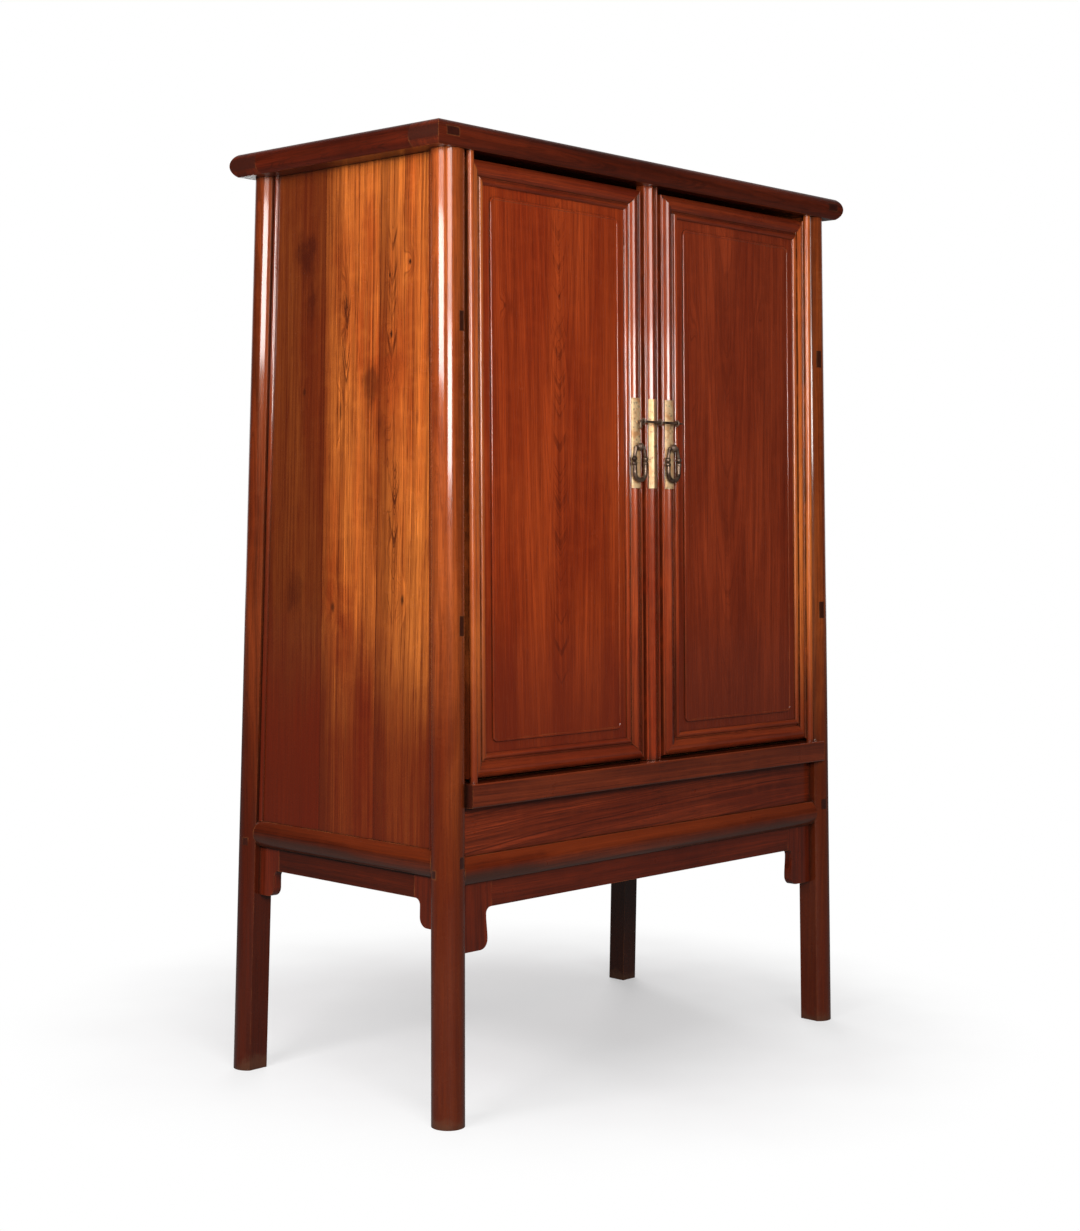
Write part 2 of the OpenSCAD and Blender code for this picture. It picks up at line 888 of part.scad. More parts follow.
module upper_stretcher_right() {
    to_right()
        stretcher(upper_stretcher_z);
}

// Back
module rear_sill_rail() {
    color(wood_plain)
        difference() {
            mirror([0, 1, 0]) {
                difference() {
                    front_frame()
                        intersection() {
                            side_plate(-foot_w, foot_w)
                                translate([0, sill_z])
                                    sill_section(rear_rail_setback);
                            front_plate(-far, far)
                                front_span(sill_z - 1, sill_top + 1, 0);
                        }
                    all_posts(fit);
                }
                sill_tenon_bar(0);
            }
        }
}
module middle_rear_rail() {
    color(wood_plain)
        rear_frame()
            front_plate(rear_rail_setback, rear_rail_back)
                front_span(middle_rear_z, middle_rear_z + stretcher_h, post_flat + fit);
}
module rear_low_board() {
    color(wood_plain)
        rear_frame()
            front_plate(board_setback, board_inner)
                front_span(side_rail_top + fit, sill_z - fit, post_flat + fit);
}
module rear_boards() {
    middle = board_setback + board_t / 2;
    pitch = foot_w / rear_board_count;
    zones = [[sill_top + fit, middle_rear_z - fit], [middle_rear_z + stretcher_h + fit, height]];
    color(wood_plain)
        for (zone = zones, i = [0:rear_board_count - 1])
            intersection() {
                rear_frame()
                    union() {
                        front_plate(board_setback, board_inner)
                            front_span(zone[0], zone[1], post_flat + fit);
                        front_plate(middle - tongue_t / 2, middle + tongue_t / 2)
                            front_span(zone[0], zone[1], post_flat - tongue);
                    }
                below_cap(fit);
                translate([-foot_w / 2 + i * pitch + fit / 2, -far / 2, 0])
                    cube([pitch - fit, far, far]);
            }
}

// Shelves and the compartment
module shelf(z) {
    reach_x = post_x(z) + post_r - board_inner - lid_gap;
    front = -post_y(z) - post_r + shelf_setback;
    rear = post_y(z) + post_r - board_inner - lid_gap;
    pitch = (rear - front) / 3;
    color(wood_plain) {
        difference() {
            for (i = [0:2])
                translate([-reach_x, front + i * pitch + fit / 2, z])
                    cube([2 * reach_x, pitch - fit, shelf_t]);
            all_posts(1);
        }
        for (s = [-1, 1])
            translate([s * reach_x / 2 - 20, front + 20, z - shelf_t - fit])
                cube([40, rear - front - 40, shelf_t]);
    }
}
module shelf_middle() {
    shelf(middle_stretcher_z + stretcher_h / 2 + 0.3);
}
module shelf_upper() {
    shelf(upper_stretcher_z + stretcher_h / 2 + 0.3);
}
// Distance from the middle of the cabinet to the lids' front and rear ledges
lid_reach = post_y(sill_top) + post_r - sill_back - lid_gap;
lid_end = post_x(sill_top) - post_flat - lid_gap - 2;
module compartment_floor() {
    z = floor_z;
    reach_x = post_x(z) + post_r - rail_setback - rail_t - 1;
    reach_y = post_y(z) + post_r - rail_setback - rail_t - 1;
    pitch = 2 * reach_y / 3;
    color(wood_plain)
        difference() {
            for (i = [0:2])
                translate([-reach_x, -reach_y + i * pitch + fit / 2, z])
                    cube([2 * reach_x, pitch - fit, lid_t]);
            all_posts(1);
        }
}
module floor_bearers() {
    top = floor_z - fit;
    reach_y = post_y(floor_z) + post_r - rail_setback - rail_t - ledge_w - 0.1;
    color(wood_plain)
        for (i = [-1:1])
            translate([i * foot_w * 0.3 - 20, -reach_y, top - lid_t])
                cube([40, 2 * reach_y, lid_t]);
}
module lid_bearers() {
    end_reach = post_x(sill_top) + post_r - board_inner - 1;
    ledge = lid_reach + lid_gap - ledge_w - 0.1;
    color(wood_plain) {
        translate([-20, -ledge, lid_z - sill_h / 2 - fit])
            cube([40, 2 * ledge, sill_h / 2]);
        for (s = [0, 1])
            mirror([s, 0, 0])
                difference() {
                    translate([lid_end + 1, -lid_reach, lid_z])
                        cube([end_reach - lid_end - 1, 2 * lid_reach, lid_t]);
                    all_posts(1);
                }
    }
}
module lid_right() {
    color(wood_plain)
        difference() {
            translate([1, -lid_reach, lid_z])
                cube([lid_end - 1, 2 * lid_reach, lid_t]);
            translate([lid_end / 2, -lid_reach / 2, lid_z - 1])
                cylinder(h = lid_t + 2, r = finger_r);
        }
}
module lid_left() {
    to_right()
        lid_right();
}

// Long round w wide and h high, which stands on y = base and bulges forwards
module swell(start, base, w, h) {
    r = arc_r(w, h);
    intersection() {
        translate([start + w / 2, base - h + r])
            circle(r = r);
        translate([start, base - h - 1])
            square([w, h + 3]);
    }
}

// Centre post
module centre_section() {
    side_bead = (centre_w - centre_round_w) / 4 - 0.8;
    base = centre_setback + centre_round_h;
    translate([-centre_w / 2, base])
        square([centre_w, centre_back - base]);
    swell(-centre_round_w / 2, base, centre_round_w, centre_round_h);
    for (s = [-1, 1])
        translate([s * (centre_w / 2 - side_bead), base])
            circle(r = side_bead);
}
module centre_post() {
    color(wood_red)
        difference() {
            intersection() {
                front_frame()
                    linear_extrude(height)
                        centre_section();
                below_cap(fit);
                translate([-far / 2, -far / 2, centre_foot])
                    cube(far);
            }
            seat_tongue(sill_top, 0, sill_top + seat_h + 1, fit, centre_back);
            seat_tongue(cap_z, cap_z - seat_h - 1, far, fit, centre_back);
        }
}

// Doors: the left door, which the right one mirrors
module door_frame() {
    front_frame()
        translate([-pivot_x(0), pivot_setback, 0])
            rotate([0, atan(pivot_slope), 0])
                children();
}
door_field_back = pivot_setback + door_back;
// Part of a hinge stile that lies between the pivot's round and the mitres
module hinge_stile_outline(grow) {
    mitre_x = pivot_r;
    polygon([
        [-2 * pivot_r, door_bottom - grow], [mitre_x, door_bottom - grow],
        [mitre_x + grow, door_bottom - grow],
        [hinge_stile_w + grow, door_bottom + door_bottom_rail - grow],
        [hinge_stile_w + grow, door_top - door_top_rail + grow],
        [mitre_x + grow, door_top + grow], [-2 * pivot_r, door_top + grow]
    ]);
}
module hinge_stile_section() {
    base = frame_base - pivot_setback;
    edge = frame_setback + strip_round_h - pivot_setback;
    start = pivot_r + quirk_r;
    strip_w = hinge_stile_w - frame_bead_w - 2 * quirk_r - start;
    difference() {
        union() {
            translate([-pivot_r + 1.3, base])
                square([hinge_stile_w + pivot_r - 1.3, door_back - base]);
            translate([-pivot_r + 1.3, 4])
                square([start + pivot_r, base - 3]);
            translate([start, edge])
                square([strip_w, base - edge + 1]);
            swell(start, edge, strip_w, strip_round_h);
            swell(hinge_stile_w - frame_bead_w, base, frame_bead_w, frame_bead_h);
        }
        translate([start, 4])
            circle(r = quirk_r);
        translate([hinge_stile_w - frame_bead_w - quirk_r, base])
            circle(r = quirk_r);
    }
}
module left_hinge_stile() {
    low = sill_top - pivot_in_sill;
    high = cap_z + pivot_in_cap;
    color(wood_warm)
        difference() {
            door_frame()
                union() {
                    intersection() {
                        linear_extrude(height)
                            hinge_stile_section();
                        front_plate(-far, far)
                            hinge_stile_outline(0);
                    }
                    translate([0, 0, low])
                        cylinder(h = high - low, r = pivot_r);
                }
            left_door_slab(fit);
        }
}
// Outline of an inner stile, with mitred ends
module inner_stile_outline(grow) {
    inner = -door_edge - inner_stile_w;
    polygon([
        [-door_edge + grow, door_bottom - grow], [-door_edge + grow, door_top + grow],
        [-door_edge - grow, door_top + grow], [inner - grow, door_top - door_top_rail + grow],
        [inner - grow, door_bottom + door_bottom_rail - grow], [-door_edge - grow, door_bottom - grow]
    ]);
}
// Section of a frame member: w wide, with its round from start on and its bead at w
module frame_section(w, start, round_w) {
    edge_r = (start - 0.8) / 2;
    difference() {
        union() {
            translate([0, frame_base])
                square([w, door_field_back - frame_base]);
            swell(start, frame_base, round_w, frame_round_h);
            swell(w - frame_bead_w, frame_base, frame_bead_w, frame_bead_h);
            if (start > 1)
                translate([edge_r, frame_base])
                    circle(r = edge_r);
        }
        translate([w - frame_bead_w - quirk_r, frame_base])
            circle(r = quirk_r);
    }
}
module door_rail_section(w) {
    frame_section(w, 0, w - frame_bead_w - 2 * quirk_r);
}
module left_inner_stile() {
    stile_start = plate_x - door_edge - stile_round_w / 2;
    color(wood_red)
        difference() {
            front_frame()
                intersection() {
                    translate([-door_edge, 0, 0])
                        mirror([1, 0, 0])
                            linear_extrude(height)
                                frame_section(inner_stile_w, stile_start, stile_round_w);
                    front_plate(-far, far)
                        inner_stile_outline(0);
                }
            left_door_slab(fit);
        }
}
module left_door_rails() {
    reach = pivot_x(0) - pivot_r;
    color(wood_dark)
        difference() {
            front_frame() {
                translate([-reach, 0, door_top])
                    rotate([90, 90, 90])
                        linear_extrude(reach - door_edge)
                            door_rail_section(door_top_rail);
                translate([-reach, 0, door_bottom])
                    mirror([0, 0, 1])
                        rotate([90, 90, 90])
                            linear_extrude(reach - door_edge)
                                door_rail_section(door_bottom_rail);
            }
            door_frame()
                front_plate(-far, far)
                    hinge_stile_outline(fit);
            front_frame()
                front_plate(-far, far)
                    inner_stile_outline(fit);
            left_door_slab(fit);
        }
}
// Corners of the panel's opening, moved inwards by a margin
function door_opening(margin) =
    let (low = door_bottom + door_bottom_rail + margin, high = door_top - door_top_rail - margin)
    let (right = -door_edge - inner_stile_w - margin)
    [
        [-pivot_x(low) + hinge_stile_w + margin, low], [right, low],
        [right, high], [-pivot_x(high) + hinge_stile_w + margin, high]
    ];
module left_door_slab(grow) {
    front_frame()
        front_plate(panel_front - grow, panel_back + grow)
            polygon(door_opening(-door_panel_tongue - grow));
}
// Straight bar of a bead from point p to point q of the door's face
module bead_bar(p, q) {
    run = q - p;
    translate([p[0], 0, p[1]])
        rotate([0, atan2(run[0], run[1]), 0])
            cylinder(h = norm(run), r = field_bead_r, $fn = 32);
    translate([p[0], 0, p[1]])
        sphere(r = field_bead_r + 0.01, $fn = 32);
}
module left_door_panel() {
    edge = rounded(door_opening(border_w + field_bead_r), 8, 3);
    last = len(edge) - 1;
    color(wood_red) {
        left_door_slab(0);
        front_frame() {
            front_plate(panel_front - field_h, panel_front + 1)
                polygon(edge);
            translate([0, panel_front - field_h + field_bead_r - 1.2, 0])
                for (i = [0:last])
                    bead_bar(edge[i], edge[i == last ? 0 : i + 1]);
        }
    }
}
module left_door_battens() {
    batten_h = 40;
    rows = [door_bottom + (door_top - door_bottom) * 0.27, door_bottom + (door_top - door_bottom) * 0.73];
    color(wood_plain)
        for (z = rows)
            front_frame()
                translate([-pivot_x(z) + hinge_stile_w + 1, panel_back + fit, z - batten_h / 2])
                    cube([
                        pivot_x(z) - hinge_stile_w - door_edge - inner_stile_w - 2,
                        door_field_back - panel_back - fit, batten_h
                    ]);
}
module right_hinge_stile() {
    to_right()
        left_hinge_stile();
}
module right_inner_stile() {
    to_right()
        left_inner_stile();
}
module right_door_rails() {
    to_right()
        left_door_rails();
}
module right_door_panel() {
    to_right()
        left_door_panel();
}
module right_door_battens() {
    to_right()
        left_door_battens();
}

// Metalwork
module pin_eye(face) {
    translate([0, -pin_proud, pin_z])
        rotate([0, 90, 0])
            rotate_extrude()
                translate([eye_r, 0])
                    circle(r = eye_wire_r, $fn = 24);
    translate([0, face + plate_t / 2, pin_z])
        rotate([90, 0, 0])
            cylinder(h = face + plate_t / 2 + pin_proud - eye_r, r = eye_wire_r + 0.4);
}
module pull_knob() {
    difference() {
        union() {
            translate([0, pull_setback - 1, pull_z + 1.5])
                sphere(r = knob_r);
            translate([0, plate_face + plate_t / 2, pull_z + 1.5])
                rotate([90, 0, 0])
                    cylinder(h = plate_face - pull_setback, r = 4);
        }
        translate([-2 * knob_r, pull_setback, pull_z])
            rotate([0, 90, 0])
                cylinder(h = 4 * knob_r, r = pull_bar_r + pivot_gap);
        translate([-knob_r, plate_face + plate_t / 2, pull_z - 2 * knob_r])
            cube([2 * knob_r, 2 * knob_r, 4 * knob_r]);
    }
}
// Plate bent over a round whose crown lies at a set-back
module bent_plate(w, setback, round_r) {
    translate([0, setback + round_r, plate_z - plate_h / 2])
        linear_extrude(plate_h)
            intersection() {
                difference() {
                    circle(r = round_r + plate_skin + plate_t);
                    circle(r = round_r + plate_skin);
                }
                translate([-w / 2, -2 * round_r])
                    square([w, 2 * round_r]);
            }
}
module lock_plate_left() {
    color(brass)
        front_frame()
            translate([-plate_x, 0, 0]) {
                bent_plate(plate_w, frame_setback, arc_r(stile_round_w, frame_round_h));
                pin_eye(plate_face);
                pull_knob();
            }
}
module lock_plate_right() {
    to_right()
        lock_plate_left();
}
module lock_plate_centre() {
    color(brass)
        front_frame() {
            bent_plate(plate_w - 1, centre_setback, arc_r(centre_round_w, centre_round_h));
            pin_eye(centre_setback - plate_skin - plate_t);
        }
}
module lock_pin() {
    reach = plate_x + 2 * eye_wire_r;
    bend = 5;
    tip = 15;
    color(bronze)
        front_frame()
            translate([0, -pin_proud, pin_z]) {
                translate([-reach, 0, 0])
                    rotate([0, 90, 0])
                        cylinder(h = 2 * reach, r = pin_r);
                translate([reach, 0, 0])
                    rotate([0, 90, 0])
                        cylinder(h = tip, r1 = pin_r, r2 = pin_r / 2);
                translate([-reach, 0, -bend])
                    rotate([90, 0, 0])
                        rotate([0, 0, 90])
                            rotate_extrude(angle = 90)
                                translate([bend, 0])
                                    circle(r = pin_r, $fn = 24);
                translate([-reach - bend, 0, -bend - 6])
                    cylinder(h = 6, r = pin_r);
                translate([-reach - bend, 0, -bend - 6])
                    sphere(r = pin_r + 0.8);
            }
}
module pull_left() {
    bar_half = 11.5;
    arm_r = 3.2;
    bead_high = -22;
    bead_low = -31;
    bead_x = pull_bend_r + 0.8;
    arm_x = bead_x - bar_half;
    arm_length = norm([arm_x, bead_high]);
    arm_tilt = atan(arm_x / -bead_high);
    color(bronze)
        front_frame()
            translate([-plate_x, pull_setback, pull_z]) {
                translate([-bar_half, 0, 0])
                    rotate([0, 90, 0])
                        cylinder(h = 2 * bar_half, r = pull_bar_r);
                for (s = [0, 1])
                    mirror([s, 0, 0]) {
                        translate([bar_half, 0, 0])
                            sphere(r = arm_r + 0.3);
                        translate([bar_half, 0, 0])
                            rotate([0, 180 - arm_tilt, 0])
                                cylinder(h = arm_length, r = arm_r);
                        translate([bead_x, 0, bead_high])
                            sphere(r = pull_bead_r);
                        translate([bead_x, 0, bead_low])
                            sphere(r = pull_bead_r);
                        translate([pull_bend_r, 0, -pull_drop])
                            cylinder(h = pull_drop + bead_low, r = pull_wire_r);
                    }
                translate([0, 0, -pull_drop])
                    rotate([90, 0, 0])
                        rotate([0, 0, 180])
                            rotate_extrude(angle = 180)
                                translate([pull_bend_r, 0])
                                    circle(r = pull_wire_r, $fn = 32);
            }
}
module pull_right() {
    to_right()
        pull_left();
}

post_front_left();
post_front_right();
post_rear_left();
post_rear_right();
cap_front_member();
cap_rear_member();
cap_left_member();
cap_right_member();
cap_boards();
cap_battens();
sill_rail();
compartment_panel();
lower_front_rail();
front_apron();
front_spandrels();
side_boards_left();
side_boards_right();
side_beads_left();
side_beads_right();
lower_side_rail_left();
lower_side_rail_right();
middle_stretcher_left();
middle_stretcher_right();
upper_stretcher_left();
upper_stretcher_right();
side_apron_left();
side_apron_right();
side_spandrels_left();
side_spandrels_right();
lower_rear_rail();
rear_sill_rail();
middle_rear_rail();
rear_low_board();
rear_boards();
rear_apron();
shelf_middle();
shelf_upper();
compartment_floor();
floor_bearers();
lid_bearers();
lid_left();
lid_right();
centre_post();
left_hinge_stile();
left_inner_stile();
left_door_rails();
left_door_panel();
left_door_battens();
right_hinge_stile();
right_inner_stile();
right_door_rails();
right_door_panel();
right_door_battens();
lock_plate_left();
lock_plate_centre();
lock_plate_right();
lock_pin();
pull_left();
pull_right();
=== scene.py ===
"""Looks, light and camera for a tapered cabinet with two doors, around its fixed frame."""

import math

import bpy
from mathutils import Matrix, Vector

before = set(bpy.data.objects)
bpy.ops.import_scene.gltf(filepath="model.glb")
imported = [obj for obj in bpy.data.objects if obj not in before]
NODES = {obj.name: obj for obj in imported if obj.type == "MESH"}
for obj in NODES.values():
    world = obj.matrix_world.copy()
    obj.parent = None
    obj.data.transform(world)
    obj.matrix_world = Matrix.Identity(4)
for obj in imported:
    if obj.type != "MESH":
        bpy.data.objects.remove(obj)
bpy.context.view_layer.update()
SCENE = bpy.context.scene
X, Y, Z = 0, 1, 2
WHITE = (1.0, 1.0, 1.0, 1.0)

# Camera, fitted to the photograph: height and focal length in its pixels, place in metres
IMAGE_HEIGHT = 1231
FOCAL_PIXELS = 2040.54
SENSOR = 36.0
PLACE = Vector((-3.029, -2.81365, 1.06365))
YAW = math.radians(-46.805)
PITCH = math.radians(-2.651)
ROLL = math.radians(0.449)
FARTHEST = 200


def make_camera():
    """The photograph's viewpoint: the front and the left side, from low down."""
    ahead = Vector((-math.sin(YAW) * math.cos(PITCH), math.cos(YAW) * math.cos(PITCH), math.sin(PITCH)))
    right = ahead.cross(Vector((0, 0, 1))).normalized()
    up = right.cross(ahead)
    turned = math.cos(ROLL) * right + math.sin(ROLL) * up
    top = -math.sin(ROLL) * right + math.cos(ROLL) * up
    data = bpy.data.cameras.new("view")
    data.sensor_width = SENSOR
    data.sensor_fit = "AUTO"
    data.lens = FOCAL_PIXELS * SENSOR / IMAGE_HEIGHT
    data.clip_end = FARTHEST
    camera = bpy.data.objects.new("view", data)
    matrix = Matrix((turned, top, -ahead)).transposed().to_4x4()
    matrix.translation = PLACE
    camera.matrix_world = matrix
    SCENE.collection.objects.link(camera)
    SCENE.camera = camera


# Colour and shader nodes. Sizes are in metres
AO_SAMPLES = 6
BEVEL_SAMPLES = 4
RIDGE_SLOPE = 0.95
RIDGE_TOP = 0.0022


def tone(red, green, blue):
    """A colour given in the usual 0 to 255 numbers, as linear RGBA."""
    linear = []
    for value in (red, green, blue):
        s = value / 255
        linear.append(s / 12.92 if s <= 0.04045 else ((s + 0.055) / 1.055) ** 2.4)
    return (*linear, 1.0)


class Net:
    """Short names for the shader nodes of one material. Its colour is laid on in coats."""

    def __init__(self, name):
        self.material = bpy.data.materials.new(name)
        self.material.use_nodes = True
        self.tree = self.material.node_tree
        self.tree.nodes.clear()
        self.out = self.tree.nodes.new("ShaderNodeOutputMaterial")
        self.shader = self.tree.nodes.new("ShaderNodeBsdfPrincipled")
        self.join(self.shader.outputs["BSDF"], self.out.inputs["Surface"])
        self.place = self.tree.nodes.new("ShaderNodeTexCoord").outputs["Object"]
        self.fill = None

    def join(self, source, socket):
        self.tree.links.new(source, socket)

    def give(self, socket, value):
        """Links a socket, or sets a plain value."""
        if isinstance(value, bpy.types.NodeSocket):
            self.join(value, socket)
        elif value is not None:
            socket.default_value = value

    def math(self, operation, a, b=None):
        node = self.tree.nodes.new("ShaderNodeMath")
        node.operation = operation
        self.give(node.inputs[0], a)
        self.give(node.inputs[1], b)
        return node.outputs[0]

    def add(self, a, b):
        return self.math("ADD", a, b)

    def sub(self, a, b):
        return self.math("SUBTRACT", a, b)

    def mul(self, a, b):
        return self.math("MULTIPLY", a, b)

    def most(self, a, b):
        return self.math("MAXIMUM", a, b)

    def span(self, a, b):
        """Length of the long side over two sides at a right angle."""
        return self.math("SQRT", self.add(self.mul(a, a), self.mul(b, b)))

    def parts(self, vector):
        node = self.tree.nodes.new("ShaderNodeSeparateXYZ")
        self.give(node.inputs[0], vector)
        return node.outputs

    def vector(self, x, y, z):
        node = self.tree.nodes.new("ShaderNodeCombineXYZ")
        for socket, value in zip(node.inputs, (x, y, z)):
            self.give(socket, value)
        return node.outputs[0]

    def noise(self, vector, scale, detail=2.0, rough=0.5, distortion=0.0):
        node = self.tree.nodes.new("ShaderNodeTexNoise")
        self.give(node.inputs["Vector"], vector)
        node.inputs["Scale"].default_value = scale
        node.inputs["Detail"].default_value = detail
        node.inputs["Roughness"].default_value = rough
        node.inputs["Distortion"].default_value = distortion
        return node.outputs["Fac"]

    def line_noise(self, value, scale, detail):
        node = self.tree.nodes.new("ShaderNodeTexNoise")
        node.noise_dimensions = "1D"
        self.give(node.inputs["W"], value)
        node.inputs["Scale"].default_value = scale
        node.inputs["Detail"].default_value = detail
        return node.outputs["Fac"]

    def swing(self, noise, size):
        """A noise moved to lie about 0 and made size high."""
        return self.mul(self.sub(noise, 0.5), size)

    def rise(self, value, low, high):
        """0 below low, 1 above high and smooth between, or the other way round."""
        node = self.tree.nodes.new("ShaderNodeMapRange")
        node.interpolation_type = "SMOOTHSTEP"
        flip = high < low
        self.give(node.inputs["Value"], value)
        node.inputs["From Min"].default_value = min(low, high)
        node.inputs["From Max"].default_value = max(low, high)
        node.inputs["To Min"].default_value = 1.0 if flip else 0.0
        node.inputs["To Max"].default_value = 0.0 if flip else 1.0
        return node.outputs["Result"]

    def near(self, value, at, reach, core=0.0):
        """1 within core of a value and 0 beyond reach."""
        return self.rise(self.math("ABSOLUTE", self.sub(value, at)), reach, core)

    def blend(self, amount, a, b):
        node = self.tree.nodes.new("ShaderNodeMix")
        node.data_type = "RGBA"
        self.give(node.inputs[0], amount)
        self.give(node.inputs[6], a)
        self.give(node.inputs[7], b)
        return node.outputs[2]

    def coat(self, amount, colour):
        """Lays a colour over what is there."""
        self.fill = self.blend(amount, self.fill, colour)

    def hollow(self, reach):
        """1 in the open, 0 in a corner, by occlusion: painted shade and dirt on wood, patina on brass."""
        node = self.tree.nodes.new("ShaderNodeAmbientOcclusion")
        node.samples = AO_SAMPLES
        node.inputs["Distance"].default_value = reach
        return node.outputs["AO"]

    def arris(self, radius):
        """1 on an edge within radius, 0 on the flat."""
        bevel = self.tree.nodes.new("ShaderNodeBevel")
        bevel.samples = BEVEL_SAMPLES
        bevel.inputs["Radius"].default_value = radius
        dot = self.tree.nodes.new("ShaderNodeVectorMath")
        dot.operation = "DOT_PRODUCT"
        self.join(bevel.outputs["Normal"], dot.inputs[0])
        self.join(self.normal("Normal"), dot.inputs[1])
        return self.rise(dot.outputs["Value"], 0.995, 0.90)

    def normal(self, kind):
        return self.tree.nodes.new("ShaderNodeNewGeometry").outputs[kind]

    def facing(self, axis):
        """How squarely the surface faces along an axis, 0 to 1."""
        return self.math("ABSOLUTE", self.parts(self.normal("True Normal"))[axis])

    def bump(self, height, strength, distance, under=None):
        node = self.tree.nodes.new("ShaderNodeBump")
        node.inputs["Strength"].default_value = strength
        node.inputs["Distance"].default_value = distance
        self.give(node.inputs["Height"], height)
        self.give(node.inputs["Normal"], under)
        return node.outputs["Normal"]

    def ridge(self, across, middle, half, radius):
        """Height that levels a shallow round and tilts its two halves, by about 44 degrees."""
        off = self.math("MINIMUM", self.most(self.sub(across, middle), -half), half)
        square = self.mul(off, off)
        peak = self.math("SQRT", self.add(square, RIDGE_TOP**2))
        height = self.sub(self.mul(square, 0.5 / radius), self.mul(peak, RIDGE_SLOPE))
        return self.bump(height, 1.0, 1.0)

    def surface(self, **values):
        for name, value in values.items():
            self.give(self.shader.inputs[name.replace("_", " ")], value)


# Wood. Sizes are in metres, amounts go from 0 to 1
LACQUER_ROUGH = 0.10
LACQUER_IOR = 1.5
WARM_SHEEN = tone(255, 178, 132)
WORN = tone(176, 104, 58)
# dark colour of dirt, knots and end grain, also laid as painted shade in corners
DIRT_AND_SHADE = tone(26, 12, 9)
END_GRAIN = tone(74, 28, 18)
GREY_WORN = tone(104, 70, 50)
# greyish painted shade on the downward faces of rails
RAIL_UNDERSIDE_SHADE = tone(62, 40, 31)
EDGE_WIDTH = 0.0022
CORNER_WIDTH = 0.016
CHAIN_TIP = 0.0016
CHAIN_FADE = 0.06
SEAM_HALF = 0.0020
SEAM_SHADE = 0.050
BOARD_SHIFT = 3.0
SCUFF_HEIGHT = 0.026


